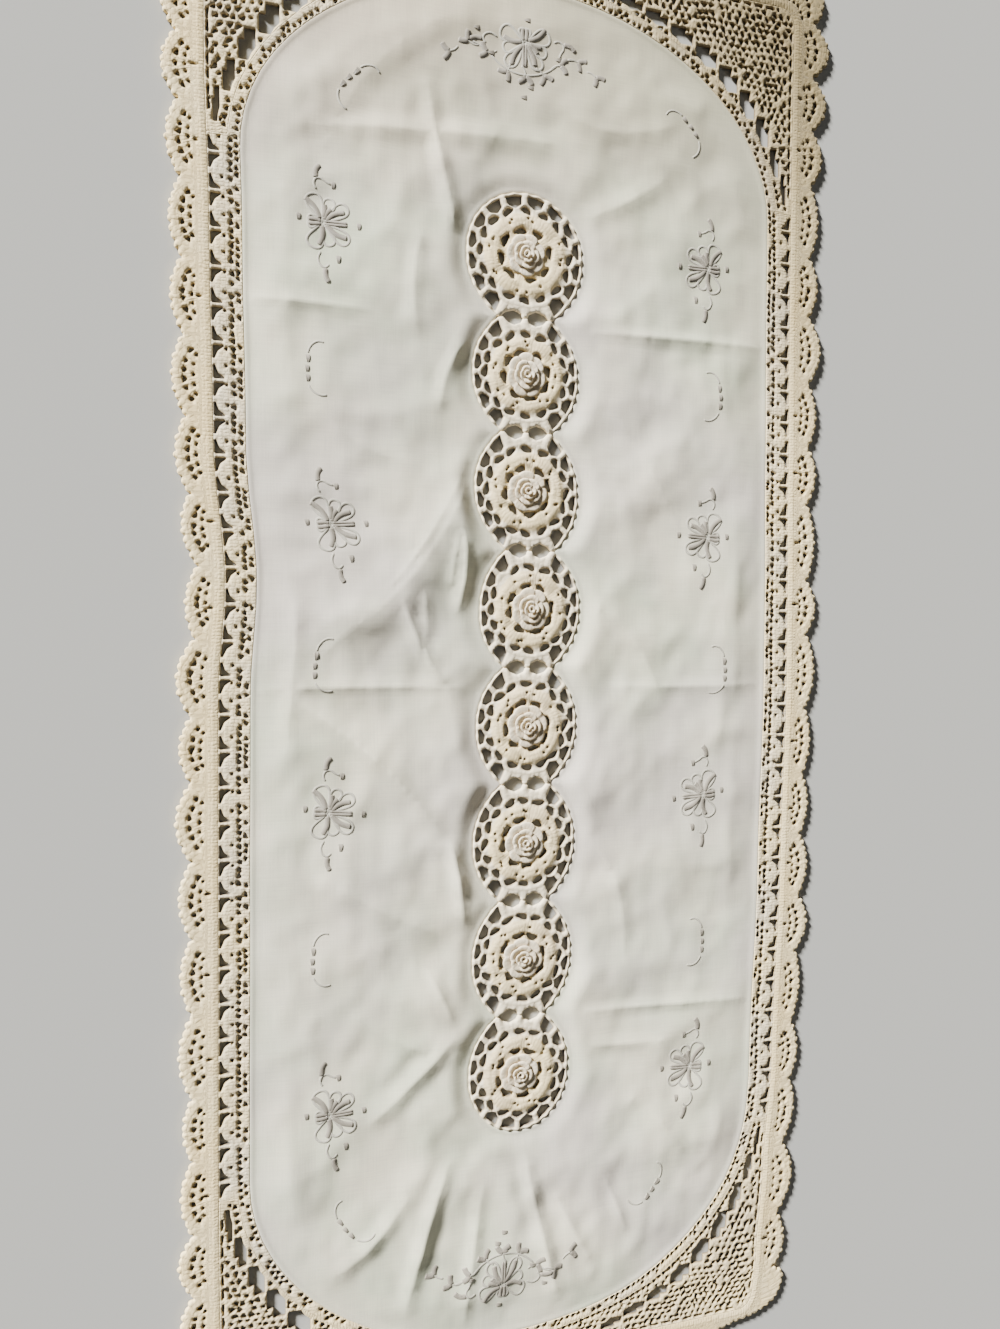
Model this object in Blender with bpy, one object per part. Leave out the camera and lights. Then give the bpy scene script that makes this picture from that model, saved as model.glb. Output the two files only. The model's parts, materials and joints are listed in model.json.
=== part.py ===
"""A crochet table runner lying flat.

An oval of plain linen carries a chain of eight rose medallions let into its middle. A worked edging
runs round the oval, four corner nets square it off, and a banded border with scallops goes round it
all. Drafting sizes are in millimetres: X runs across the runner, Y along it, and Z up.
"""
import math

import bmesh
import bpy
from mathutils import Vector
from mathutils.geometry import delaunay_2d_cdt

MM = 0.001
PARTING = 0.3               # clear width between neighbouring pieces
CROWDED = 1.0               # an outline's points keep this far from the end of its stretch

# Linen oval: straight sides with a half-ellipse at each end.
OVAL_HALF_WIDTH = 158.0
OVAL_STRAIGHT = 280.0       # half the length of the straight sides
OVAL_END = 115.0            # depth of each rounded end
OVAL_SIDE_STEPS = 14
OVAL_END_STEPS = 32
LINEN_THICK = 1.0

# Lace pieces.
LACE_THICK = 1.6
EDGING_WIDTH = 6.5
BAND_X = 175.0              # half width inside the border's solid band
BAND_Y = 414.0              # half length inside the band
BAND_CORNER = 10.0
BAND_CORNER_STEPS = 4
BAND_RIDGE = 3.0            # from the band's inner line to its raised rib
BAND_WIDTH = 6.0
BAND_RIB_HEIGHT = 2.4
END_STEPS = 8               # stations on half of one end

# Pairs of three-cornered gaps between the edging and the band.
PAIR_COUNT = 29
PAIR_PITCH = 19.85
PAIR_BAR = 2.8              # width of the bar between the two gaps of a pair
PAIR_LENGTH = 6.9
PAIR_DEPTH = 5.2
PAIR_BELLY = 0.38           # how far the shell beside a gap bulges into it, as a share of its depth
FOOT_CHAIN = 0.8            # chain left between a gap and the band
SHOULDER_Y = PAIR_COUNT * PAIR_PITCH / 2.0
NET_STEPS = 5               # stations between the shoulder and the band's corner

# Ladder of large gaps round a quarter of the oval, for the corner at +X +Y.
# Columns: centre x, centre y, width along X, height along Y.
LADDER = (
    (169.4, 303.0, 3.6, 18.0),
    (163.0, 318.8, 6.2, 16.4),
    (154.2, 336.4, 8.6, 16.4),
    (143.4, 351.2, 10.4, 15.6),
    (130.2, 364.4, 12.6, 13.8),
    (115.2, 375.8, 13.8, 11.6),
    (98.8, 385.4, 14.2, 9.4),
    (82.2, 392.6, 14.2, 7.6),
    (65.8, 398.0, 14.0, 6.2),
    (49.2, 402.0, 13.6, 5.0),
)
# How far the last gap of each corner's ladder stands off that place. Columns: sign x, sign y, x, y.
CORNERS = (
    (1, 1, 0.0, 0.0),
    (-1, 1, -5.0, 0.0),
    (-1, -1, 0.0, 2.0),
    (1, -1, 6.0, 8.0),
)
STEP_BITE = 0.34            # outer stepped corner of a gap, as a share of its sides
SHELL_BITE = 0.44           # inner corner taken by the edging's shell
SHELL_CURVE = (0.62, 0.55)  # the shell's middle point, as a share of that corner along X and Y

# Scalloped fans of the border, as uneven as they are worked.
FAN_VALLEY = 13.6           # from the band's inner line to the notch between two fans
FAN_CORNER = 408.0          # where the last fan of a side ends
CORNER_INSET = 6.0          # a corner fan's centre, in from the band's inner corner
CORNER_RISE = 12.5
TURNED_UNDER_Y = -385.5     # where the +X side's fans stop beside the turned-under corner
TURNED_UNDER_X = 141.0      # where the -Y end's fans stop beside it
PICOTS = 5                  # small loops along a fan's rim
PICOT_RISE = 0.9
# Fans from the +Y end down each side. Columns: share of the side, rise above the notch.
RIGHT_FANS = (
    (33, 11.4), (33, 10.0), (34, 7.6), (45, 5.6), (37, 6.0), (42, 8.7), (40, 5.8), (36, 6.0), (49, 5.4),
    (34, 6.6), (48, 6.2), (43, 4.4), (39, 4.8), (40, 5.8), (36, 7.2), (47, 4.6), (38, 5.2), (41, 5.8),
    (44, 8.2), (35, 7.4),
)
LEFT_FANS = (
    (35, 7.2), (35, 7.2), (35, 7.0), (40, 6.2), (41, 6.0), (40, 5.8), (43, 6.3), (41, 5.4), (38, 6.2),
    (39, 6.1), (42, 7.6), (36, 5.9), (43, 7.8), (42, 6.3), (42, 5.6), (46, 6.6), (35, 4.6), (42, 6.0),
    (34, 7.6), (34, 7.2), (34, 7.6),
)
TOP_FANS = ((42, 8.0), (40, 7.2), (43, 8.2), (42, 7.6), (41, 7.0), (43, 8.2), (40, 7.6), (42, 8.0))
BOTTOM_FANS = ((38, 7.6), (40, 8.2), (43, 7.4), (39, 7.0), (42, 8.2), (41, 7.6), (38, 7.2), (39, 5.0))
# Rim of the corner at +X -Y, where the fans are turned under. Columns: x, y.
TURNED_UNDER = (
    (196.8, -390.5), (198.2, -395.0), (198.0, -401.0), (196.6, -407.0), (193.0, -412.4),
    (185.5, -416.4), (177.0, -419.6), (164.0, -421.6), (151.0, -424.8),
)

# Medallions, from the +Y end down.
MEDALLION_JOINS = (279.1, 207.7, 142.1, 73.3, 4.7, -64.5, -133.9, -203.1, -273.1)
MEDALLION_HALF_WIDTHS = (35.0, 32.0, 31.4, 31.0, 30.8, 31.4, 30.8, 31.4)
# Tips of the bars in one quarter, from level with the centre to the line of the chain.
# Columns: x, y.
JOINED_TIPS = ((32.0, 0.0), (30.4, 12.6), (24.8, 24.2), (15.6, 34.25), (0.0, 34.25))
FREE_TIPS = ((32.0, 0.0), (30.2, 12.6), (23.8, 24.0), (13.2, 32.4), (0.0, 35.2))
ARCH_BULGE = 0.7            # how far the chain between two tips bows outward
ARCH_WIDTH = 1.3
BAR_HALF = 1.1
CHAIN_OUTER = 28.7          # radius of the outer gaps' inner corners at a bar
CHAIN_DIP = 26.2            # radius of their point between two bars
JOIN_FLAT = 1.2             # half width of the contact between two medallions
# Half of a gap shared by two medallions. Columns: x, distance below the joining line.
JOIN_GAP = ((13.6, 0.0), (11.2, 2.6), (6.4, 4.3), (2.2, 2.4))
PETAL_EDGE = 22.8
INNER_GAP_TOP = 27.0
INNER_GAP_HALF = 7.5        # degrees to each side of its bar
INNER_GAP_TIP = 0.25        # the gap's outer end, as a share of its base
INNER_GAPS_CUT = (22.5, 157.5, 270.0)   # degrees round from +X
# Rose relief. Columns: radius, height, points, radial wave, height wave.
ROSE_RINGS = (
    (20.2, 2.4, 16, 0.0, 0.4),
    (13.4, 1.9, 16, 0.0, 0.0),
    (11.8, 3.6, 16, 0.7, 0.0),
    (7.9, 3.4, 12, 0.3, 0.0),
    (7.1, 5.2, 12, 0.3, 0.0),
    (3.8, 5.0, 8, 0.2, 0.0),
)
ROSE_HEART = 6.4

# How the runner lies: small shifts of its left and right sides and along it.
# Columns: place along Y, shift of the left side, of the right side, and of the right side along Y.
LAY = (
    (450.0, -4.6, -0.8, 0.0),
    (334.0, -5.0, -0.9, 0.0),
    (237.0, -2.7, -0.5, 0.0),
    (127.0, -1.1, 0.8, 0.0),
    (52.0, 4.6, 1.9, 0.0),
    (-12.0, 0.8, 2.3, 0.0),
    (-121.0, 0.4, 0.2, 0.0),
    (-253.0, 0.0, -3.8, 0.0),
    (-317.0, 0.0, -8.5, -1.0),
    (-376.0, 0.6, -13.0, -5.0),
    (-412.0, 0.9, -16.0, 0.0),
    (-444.0, 1.0, -18.5, 0.0),
)

# Soft folds and pressed creases in the linen, each a low ridge along a curve.
# Columns: start x, start y, middle x, middle y, end x, end y, half width, height.
FOLDS = (
    (-156.0, 203.5, -122.0, 204.0, -88.0, 202.5, 5.0, 1.0),
    (38.0, 202.5, 95.0, 203.5, 155.0, 203.5, 5.0, 1.4),
    (-57.0, 334.5, -50.0, 290.5, -41.0, 252.5, 8.0, 2.6),
    (-130.0, 297.5, -60.0, 304.5, 24.0, 308.5, 10.0, 1.8),
    (-34.0, 126.5, -68.0, 70.5, -124.0, 10.5, 10.0, 3.4),
    (-34.0, 102.5, -45.0, 76.5, -49.0, 50.5, 7.0, 2.2),
    (-155.0, -6.5, -95.0, -5.5, -36.0, -6.5, 5.0, 1.3),
    (44.0, -6.5, 100.0, -7.5, 155.0, -6.5, 5.0, 0.9),
    (-134.0, -13.5, -88.0, -48.5, -50.0, -92.5, 8.0, 3.2),
    (-46.0, -95.5, -41.0, -117.5, -37.0, -145.5, 6.0, 2.6),
    (-40.0, -209.5, -62.0, -231.5, -93.0, -257.5, 10.0, 2.6),
    (-60.0, -167.5, -50.0, -185.5, -43.0, -201.5, 5.0, 1.6),
    (-42.0, -283.5, -56.0, -325.5, -68.0, -371.5, 8.0, 2.8),
    (6.0, -285.5, 16.0, -329.5, 33.0, -379.5, 8.0, 2.8),
    (26.0, -313.5, 38.0, -335.5, 53.0, -357.5, 6.0, 1.4),
    (60.0, -309.5, 68.0, -327.5, 77.0, -345.5, 5.0, 1.2),
    (-66.0, -299.5, -88.0, -325.5, -112.0, -341.5, 9.0, 1.8),
    (38.0, -204.5, 92.0, -205.5, 154.0, -207.5, 5.0, 1.4),
    (44.0, -226.5, 70.0, -227.5, 96.0, -228.5, 6.0, 1.0),
)
FOLD_STATIONS = 5           # rows of mesh points across a fold
FOLD_SAMPLES = 24           # places tried along a fold to find its height at a point
FOLD_TAPER = 0.6            # how bluntly a fold runs out at its ends

LINEN_COLOUR = (0.63, 0.63, 0.57)
LACE_COLOUR = (0.79, 0.70, 0.55)
ROSE_COLOUR = (0.76, 0.66, 0.51)


# ---------------------------------------------------------------- shaping rules

def ease(rows, place, column):
    """Value of a column between a table's rows, which run from high to low, eased at each row."""
    if place >= rows[0][0]:
        return rows[0][column]
    for upper, lower in zip(rows, rows[1:]):
        if place >= lower[0]:
            share = (upper[0] - place) / (upper[0] - lower[0])
            soft = 0.5 - 0.5 * math.cos(math.pi * share)
            return upper[column] + (lower[column] - upper[column]) * soft
    return rows[-1][column]


def lay(x, y):
    """Where a drafted point ends up on the table."""
    left = ease(LAY, y, 1)
    right = ease(LAY, y, 2)
    across = (x + BAND_X) / (2.0 * BAND_X)
    return x + left + (right - left) * across, y + ease(LAY, y, 3) * across


def on_curve(fold, t):
    """Point of a fold's quadratic curve through its start, middle and end."""
    start, middle, end = Vector(fold[0:2]), Vector(fold[2:4]), Vector(fold[4:6])
    pull = 2.0 * middle - 0.5 * (start + end)
    return (1.0 - t) ** 2 * start + 2.0 * t * (1.0 - t) * pull + t * t * end


def fold_height(x, y):
    """Height of the linen above the table at a drafted point."""
    height = 0.0
    point = Vector((x, y))
    for fold in FOLDS:
        half_width, crest = fold[6], fold[7]
        stations = [on_curve(fold, i / FOLD_SAMPLES) for i in range(FOLD_SAMPLES + 1)]
        nearest = min(range(len(stations)), key=lambda i: (stations[i] - point).length_squared)
        away = (stations[nearest] - point).length
        if away < half_width:
            taper = math.sin(math.pi * nearest / FOLD_SAMPLES) ** FOLD_TAPER
            height = max(height, crest * taper * math.cos(0.5 * math.pi * away / half_width) ** 2)
    return height


def raised(points, height):
    """The same points with one height of the upper face."""
    return [(p[0], p[1], height) for p in points]


def mirrored(points, sign_x, sign_y):
    """Points reflected in the middle lines, kept in anticlockwise order."""
    flipped = [(p[0] * sign_x, p[1] * sign_y) + tuple(p[2:]) for p in points]
    return flipped if sign_x == sign_y else flipped[::-1]


# ---------------------------------------------------------------- outlines

def oval(grow):
    """The linen's oval, grown outward."""
    half_width = OVAL_HALF_WIDTH + grow
    end = OVAL_END + grow
    side = [OVAL_STRAIGHT * i / OVAL_SIDE_STEPS for i in range(-OVAL_SIDE_STEPS, OVAL_SIDE_STEPS + 1)]
    turns = [math.pi * i / OVAL_END_STEPS for i in range(1, OVAL_END_STEPS)]
    points = [(half_width, y) for y in side]
    points += [(half_width * math.cos(a), OVAL_STRAIGHT + end * math.sin(a)) for a in turns]
    points += [(-half_width, -y) for y in side]
    points += [(-half_width * math.cos(a), -OVAL_STRAIGHT - end * math.sin(a)) for a in turns]
    return points


def oval_x(grow, y):
    """Half width of the grown oval at a place on its rounded end."""
    rise = (y - OVAL_STRAIGHT) / (OVAL_END + grow)
    return (OVAL_HALF_WIDTH + grow) * math.sqrt(1.0 - rise * rise)


def band_quarter(grow):
    """The band's inner line from the middle of the +X side round to the middle of the +Y end."""
    x, y, radius = BAND_X + grow, BAND_Y + grow, BAND_CORNER + grow
    side = [PAIR_PITCH * i for i in range(1, PAIR_COUNT // 2 + 1)]
    straight = BAND_Y - BAND_CORNER
    side += [SHOULDER_Y + (straight - SHOULDER_Y) * i / NET_STEPS for i in range(NET_STEPS + 1)]
    turns = [0.5 * math.pi * i / BAND_CORNER_STEPS for i in range(1, BAND_CORNER_STEPS)]
    middle_x, middle_y = x - radius, y - radius
    points = [(x, v) for v in side]
    points += [(middle_x + radius * math.cos(a), middle_y + radius * math.sin(a)) for a in turns]
    points += [(middle_x * i / END_STEPS, y) for i in range(END_STEPS, 0, -1)]
    return points


def band_line(grow):
    """The whole rounded oblong inside the band, grown outward."""
    quarter = band_quarter(grow)
    points = [(BAND_X + grow, 0.0)] + quarter + [(0.0, BAND_Y + grow)]
    points += mirrored(quarter, -1, 1) + [(-BAND_X - grow, 0.0)]
    points += mirrored(quarter, -1, -1) + [(0.0, -BAND_Y - grow)]
    return points + mirrored(quarter, 1, -1)


def fan_profile(step, rise):
    """Share of the way along a fan and height above its notch, with a picot at each odd step."""
    share = step / (2.0 * PICOTS)
    swell = rise * (1.0 - (2.0 * share - 1.0) ** 2)
    return share, swell + (PICOT_RISE if step % 2 else 0.0)


def side_fans(start, end, outward_x, outward_y, fans):
    """Rim of the fans between two corners of the band, from the first notch to before the last."""
    total = sum(share for share, _ in fans)
    points = []
    done = 0.0
    for width, rise in fans:
        for step in range(2 * PICOTS):
            share, height = fan_profile(step, rise)
            travel = (done + share * width) / total
            reach = FAN_VALLEY + height
            points.append((start[0] + (end[0] - start[0]) * travel + outward_x * reach,
                           start[1] + (end[1] - start[1]) * travel + outward_y * reach))
        done += width
    return points


def corner_fan(sign_x, sign_y):
    """Rim of the fan round one corner, from the notch where a side's fans end."""
    centre = BAND_X - CORNER_INSET, BAND_Y - CORNER_INSET
    points = []
    for step in range(2 * PICOTS):
        share, height = fan_profile(step, CORNER_RISE)
        turn = 0.5 * math.pi * (share if sign_x == sign_y else 1.0 - share)
        reach = CORNER_INSET + FAN_VALLEY + height
        points.append((sign_x * (centre[0] + reach * math.cos(turn)),
                       sign_y * (centre[1] + reach * math.sin(turn))))
    return points


def scalloped_rim():
    """The runner's outer edge, anticlockwise from the turned-under corner at +X -Y."""
    x, y, corner_x, corner_y = BAND_X, BAND_Y, BAND_X - CORNER_INSET, FAN_CORNER
    rim = side_fans((x, TURNED_UNDER_Y), (x, corner_y), 1, 0, RIGHT_FANS[::-1])
    rim += corner_fan(1, 1)
    rim += side_fans((corner_x, y), (-corner_x, y), 0, 1, TOP_FANS)
    rim += corner_fan(-1, 1)
    rim += side_fans((-x, corner_y), (-x, -corner_y), -1, 0, LEFT_FANS)
    rim += corner_fan(-1, -1)
    rim += side_fans((-corner_x, -y), (TURNED_UNDER_X, -y), 0, -1, BOTTOM_FANS)
    return rim + [(TURNED_UNDER_X, -y - FAN_VALLEY)] + list(TURNED_UNDER[::-1])


def centring():
    """Shift that brings the laid runner's box to the middle of the frame."""
    laid = [lay(x, y) for x, y in scalloped_rim()]
    wide = [p[0] for p in laid]
    long = [p[1] for p in laid]
    return -0.5 * (min(wide) + max(wide)), -0.5 * (min(long) + max(long))


# ---------------------------------------------------------------- solids

def fill(loops, relief):
    """Triangles of the first loop less the others, with the relief's lines drawn in.

    Returns the triangles and, for each input point, its number in them.
    """
    points, edges, faces = [], [], []
    for loop in loops:
        faces.append(list(range(len(points), len(points) + len(loop))))
        points += loop
    for line in relief:
        edges += [(len(points) + i, len(points) + i + 1) for i in range(len(line) - 1)]
        points += line
    flat = [Vector(p[:2]) for p in points]
    places, _, triangles, origins, _, owners = delaunay_2d_cdt(flat, edges, faces, 1, 1e-5, True)
    if any(not origin for origin in origins):
        raise ValueError("two outlines cross")
    heights = [points[origin[0]] for origin in origins]
    kept = [t for t, owner in zip(triangles, owners) if list(owner) == [0]]
    number = {old: new for new, origin in enumerate(origins) for old in origin}
    return heights, kept, number


def sheet(name, loops, relief, base, shift, material):
    """One closed solid: a rim, its gaps, a worked upper face and a lower face at the base's height."""
    bm = bmesh.new()
    sides = []
    for upper in (True, False):
        points, triangles, number = fill(loops, relief if upper or base else [])
        verts = {}
        for index in sorted({i for triangle in triangles for i in triangle}):
            x, y, top = points[index]
            low = base(x, y) if base else 0.0
            place = lay(x, y)
            z = low + top if upper else low
            verts[index] = bm.verts.new(((place[0] + shift[0]) * MM, (place[1] + shift[1]) * MM, z * MM))
        for triangle in triangles:
            corners = [verts[i] for i in triangle]
            bm.faces.new(corners if upper else corners[::-1])
        sides.append((verts, number))
    first = 0
    for loop in loops:
        for i in range(len(loop)):
            ends = (first + i, first + (i + 1) % len(loop))
            top_a, top_b = (sides[0][0][sides[0][1][e]] for e in ends)
            low_a, low_b = (sides[1][0][sides[1][1][e]] for e in ends)
            bm.faces.new((top_a, low_a, low_b, top_b))
        first += len(loop)
    bmesh.ops.recalc_face_normals(bm, faces=bm.faces)
    bmesh.ops.triangulate(bm, faces=bm.faces)
    mesh = bpy.data.meshes.new(name)
    bm.to_mesh(mesh)
    bm.free()
    mesh.materials.append(material)
    body = bpy.data.objects.new(name, mesh)
    bpy.context.scene.collection.objects.link(body)
    return body


def fabric(name, colour, roughness):
    """A plain fibre finish."""
    material = bpy.data.materials.new(name)
    material.use_nodes = True
    shader = material.node_tree.nodes["Principled BSDF"]
    shader.inputs["Base Color"].default_value = (*colour, 1.0)
    shader.inputs["Roughness"].default_value = roughness
    shader.inputs["Metallic"].default_value = 0.0
    return material


# ---------------------------------------------------------------- medallions

def outward(point, distance):
    """A point moved away from the medallion's centre."""
    vector = Vector(point)
    return tuple(vector * (1.0 + distance / vector.length))


def bow(first, second):
    """Top of the chain arch between two bar tips."""
    return outward(((first[0] + second[0]) / 2.0, (first[1] + second[1]) / 2.0), ARCH_BULGE)


def side_quarter(joined, grow):
    """Tips and arches of one quarter, between its two middle lines, up to the neck if it is joined."""
    tips = JOINED_TIPS if joined else FREE_TIPS
    points = [bow(tips[0], tips[1]), tips[1], bow(tips[1], tips[2]), tips[2], bow(tips[2], tips[3])]
    if not joined:
        points += [tips[3], bow(tips[3], tips[4])]
    return [outward(p, grow) for p in points]


def rim_quarter(joined):
    """One quarter of a medallion's outline, between its two middle lines."""
    points = side_quarter(joined, 0.0)
    if joined:
        line = JOINED_TIPS[3][1]
        points.append(JOINED_TIPS[3])
        points += [(x, line - below) for x, below in JOIN_GAP]
        points.append((JOIN_FLAT, line))
    return points


def medallion_rim(joined_up, joined_down):
    """Outline of one medallion about its own centre, anticlockwise from +X."""
    upper, lower = rim_quarter(joined_up), rim_quarter(joined_down)
    top = [] if joined_up else [FREE_TIPS[4]]
    bottom = [] if joined_down else mirrored([FREE_TIPS[4]], 1, -1)
    rim = [FREE_TIPS[0]] + upper + top + mirrored(upper, -1, 1)
    rim += mirrored([FREE_TIPS[0]], -1, 1) + mirrored(lower, -1, -1)
    return rim + bottom + mirrored(lower, 1, -1)


def polar(radius, angle):
    """A point from its distance and direction in radians."""
    return radius * math.cos(angle), radius * math.sin(angle)


def arch_gaps(joined):
    """Outer gaps of one quarter, each under the arch between two bar tips."""
    tips = JOINED_TIPS if joined else FREE_TIPS
    gaps = []
    for first, second in zip(tips[:3] if joined else tips, tips[1:4] if joined else tips[1:]):
        start, end = math.atan2(first[1], first[0]), math.atan2(second[1], second[0])
        near, far = math.hypot(*first) - ARCH_WIDTH, math.hypot(*second) - ARCH_WIDTH
        middle = math.hypot(*bow(first, second)) - ARCH_WIDTH
        inner_turn = BAR_HALF / CHAIN_OUTER
        gaps.append([
            polar(near, start + BAR_HALF / near),
            polar(middle, 0.5 * (start + end)),
            polar(far, end - BAR_HALF / far),
            polar(CHAIN_OUTER, end - inner_turn),
            polar(CHAIN_DIP, 0.5 * (start + end)),
            polar(CHAIN_OUTER, start + inner_turn),
        ])
    return gaps


def inner_gap(turn):
    """Three-cornered gap between the petals and the chain, at a bar's direction in degrees."""
    angle, half = math.radians(turn), math.radians(INNER_GAP_HALF)
    return [
        polar(PETAL_EDGE, angle - half),
        polar(INNER_GAP_TOP, angle - INNER_GAP_TIP * half),
        polar(INNER_GAP_TOP, angle + INNER_GAP_TIP * half),
        polar(PETAL_EDGE, angle + half),
    ]


def rose_ring(radius, height, count, wave, lift):
    """One closed ring of the rose's relief; every second point stands out as a petal."""
    ring = []
    for i in range(count):
        sign = 1.0 if i % 2 else -1.0
        ring.append(polar(radius + sign * wave, 2.0 * math.pi * i / count) + (height + sign * lift,))
    return ring + ring[:1]


def joined(index):
    """Whether a medallion has a neighbour towards +Y and towards -Y."""
    return index > 0, index < len(MEDALLION_HALF_WIDTHS) - 1


def set_in(points, index):
    """A medallion's points, drawn to its own width and height and moved to its place."""
    halves = [JOINED_TIPS[4][1] if side else FREE_TIPS[4][1] for side in joined(index)]
    clear = [0.5 * PARTING if side else 0.0 for side in joined(index)]
    high, low = MEDALLION_JOINS[index] - clear[0], MEDALLION_JOINS[index + 1] + clear[1]
    stretch = (high - low) / sum(halves)
    widen = MEDALLION_HALF_WIDTHS[index] / FREE_TIPS[0][0]
    return [(p[0] * widen, low + (halves[1] + p[1]) * stretch) + tuple(p[2:]) for p in points]


def medallion(index, shift, material):
    """One rose medallion with its chain of gaps."""
    joined_up, joined_down = joined(index)
    gaps = []
    for side, sign_y in ((joined_up, 1), (joined_down, -1)):
        for gap in arch_gaps(side):
            gaps += [mirrored(gap, sign_x, sign_y) for sign_x in (1, -1)]
    gaps += [inner_gap(turn) for turn in INNER_GAPS_CUT]
    loops = [raised(set_in(loop, index), LACE_THICK)
             for loop in [medallion_rim(joined_up, joined_down)] + gaps]
    rings = [rose_ring(*row) for row in ROSE_RINGS] + [[(0.0, 0.0, ROSE_HEART)]]
    relief = [set_in(ring, index) for ring in rings]
    return sheet(f"medallion_{index + 1}", loops, relief, None, shift, material)


# ---------------------------------------------------------------- linen

def cutout():
    """The opening in the linen that takes the chain of medallions."""
    last = len(MEDALLION_HALF_WIDTHS) - 1
    level = [outward(FREE_TIPS[0], PARTING)]
    right = []
    for index in range(last, -1, -1):
        joined_up, joined_down = joined(index)
        lower = mirrored(side_quarter(joined_down, PARTING), 1, -1)
        right += set_in(lower + level + side_quarter(joined_up, PARTING), index)
        if joined_up:
            widest = max(MEDALLION_HALF_WIDTHS[index - 1:index + 1]) / FREE_TIPS[0][0]
            right.append((JOINED_TIPS[3][0] * widest + PARTING, MEDALLION_JOINS[index]))
    end = [outward(FREE_TIPS[4], PARTING)]
    bottom = set_in(mirrored(end, 1, -1), last)
    return right + set_in(end, 0) + mirrored(right, -1, 1) + bottom


def fold_relief():
    """Points on each fold's crest and along its two feet."""
    points = []
    for fold in FOLDS:
        for i in range(FOLD_STATIONS):
            t = (i + 0.5) / FOLD_STATIONS
            crest = on_curve(fold, t)
            run = on_curve(fold, t + 0.01) - on_curve(fold, t - 0.01)
            across = Vector((-run.y, run.x)).normalized() * fold[6]
            points += [[(*(crest + across * side), LINEN_THICK)] for side in (-1.0, 0.0, 1.0)]
    return points


def linen_panel(shift, material):
    """The linen oval with its opening and its folds."""
    loops = [raised(oval(0.0), LINEN_THICK), raised(cutout(), LINEN_THICK)]
    return sheet("linen_panel", loops, fold_relief(), fold_height, shift, material)


# ---------------------------------------------------------------- lace

def pair_gap(y, sign):
    """One of a pair of gaps beside the band on the +X side, on the given side of their bar."""
    base = BAND_X - PARTING - FOOT_CHAIN
    start = y + sign * 0.5 * PAIR_BAR
    belly = (base - PAIR_DEPTH * PAIR_BELLY, start + sign * PAIR_LENGTH * PAIR_BELLY)
    points = [(base, start), (base, start + sign * PAIR_LENGTH), belly, (base - PAIR_DEPTH, start)]
    return points if sign > 0 else points[::-1]


def edging_rim():
    """Outline of the edging: out to the band along the sides, close to the oval round the ends."""
    shoulder = SHOULDER_Y - 0.5 * PARTING
    side = [p for p in band_quarter(-PARTING) if p[1] < shoulder - CROWDED]
    side.append((BAND_X - PARTING, shoulder))
    right = mirrored(side, 1, -1) + [(BAND_X - PARTING, 0.0)] + side
    inner_x = oval_x(EDGING_WIDTH, shoulder)
    end = [p for p in oval(EDGING_WIDTH) if p[1] > shoulder + CROWDED]
    top = [(inner_x, shoulder)] + end + [(-inner_x, shoulder)]
    return right + top + mirrored(right, -1, -1) + mirrored(top, -1, -1)


def oval_edging(shift, material):
    """Worked edging round the oval, with the pairs of gaps along both sides."""
    gaps = []
    for pair in range(PAIR_COUNT):
        y = PAIR_PITCH * (pair - 0.5 * (PAIR_COUNT - 1))
        for sign in (1, -1):
            gap = pair_gap(y, sign)
            gaps += [gap, mirrored(gap, -1, 1)]
    loops = [raised(loop, LACE_THICK) for loop in [edging_rim(), oval(PARTING)] + gaps]
    return sheet("oval_edging", loops, [], None, shift, material)


def ladder_gap(x, y, width, height):
    """A large gap with its outer corner stepped in and its inner corner taken by a shell."""
    left, right = x - 0.5 * width, x + 0.5 * width
    low, high = y - 0.5 * height, y + 0.5 * height
    step_x, step_y = width * STEP_BITE, height * STEP_BITE
    shell_x, shell_y = width * SHELL_BITE, height * SHELL_BITE
    return [
        (left, high),
        (left, low + shell_y),
        (left + SHELL_CURVE[0] * shell_x, low + SHELL_CURVE[1] * shell_y),
        (left + shell_x, low),
        (right, low),
        (right, high - step_y),
        (right - step_x, high - step_y),
        (right - step_x, high),
    ]


def corner_net(number, corner, shift, material):
    """The net that fills one corner between the edging and the band, with its ladder of gaps."""
    sign_x, sign_y, drift_x, drift_y = corner
    grow = EDGING_WIDTH + PARTING
    shoulder = SHOULDER_Y + 0.5 * PARTING
    line = band_quarter(-PARTING)
    outer = [(BAND_X - PARTING, shoulder)] + [p for p in line if p[1] > shoulder + CROWDED]
    outer.append((0.5 * PARTING, BAND_Y - PARTING))
    inner = [p for p in oval(grow) if p[1] > shoulder + CROWDED and p[0] > CROWDED]
    top = (0.5 * PARTING, OVAL_STRAIGHT + OVAL_END + grow)
    rim = outer + [top] + inner[::-1] + [(oval_x(grow, shoulder), shoulder)]
    shapes = [rim]
    for index, (x, y, width, height) in enumerate(LADDER):
        share = index / (len(LADDER) - 1)
        shapes.append(ladder_gap(x + share * drift_x, y + share * share * drift_y, width, height))
    loops = [raised(mirrored(shape, sign_x, sign_y), LACE_THICK) for shape in shapes]
    return sheet(f"corner_net_{number}", loops, [], None, shift, material)


def outer_border(shift, material):
    """The solid band with its raised rib, and the scalloped fans outside it, in one ring."""
    loops = [raised(scalloped_rim(), LACE_THICK), raised(band_line(0.0), LACE_THICK)]
    relief = []
    for grow, height in ((BAND_RIDGE, BAND_RIB_HEIGHT), (BAND_WIDTH, LACE_THICK)):
        ring = raised(band_line(grow), height)
        relief.append(ring + ring[:1])
    return sheet("outer_border", loops, relief, None, shift, material)


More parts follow.
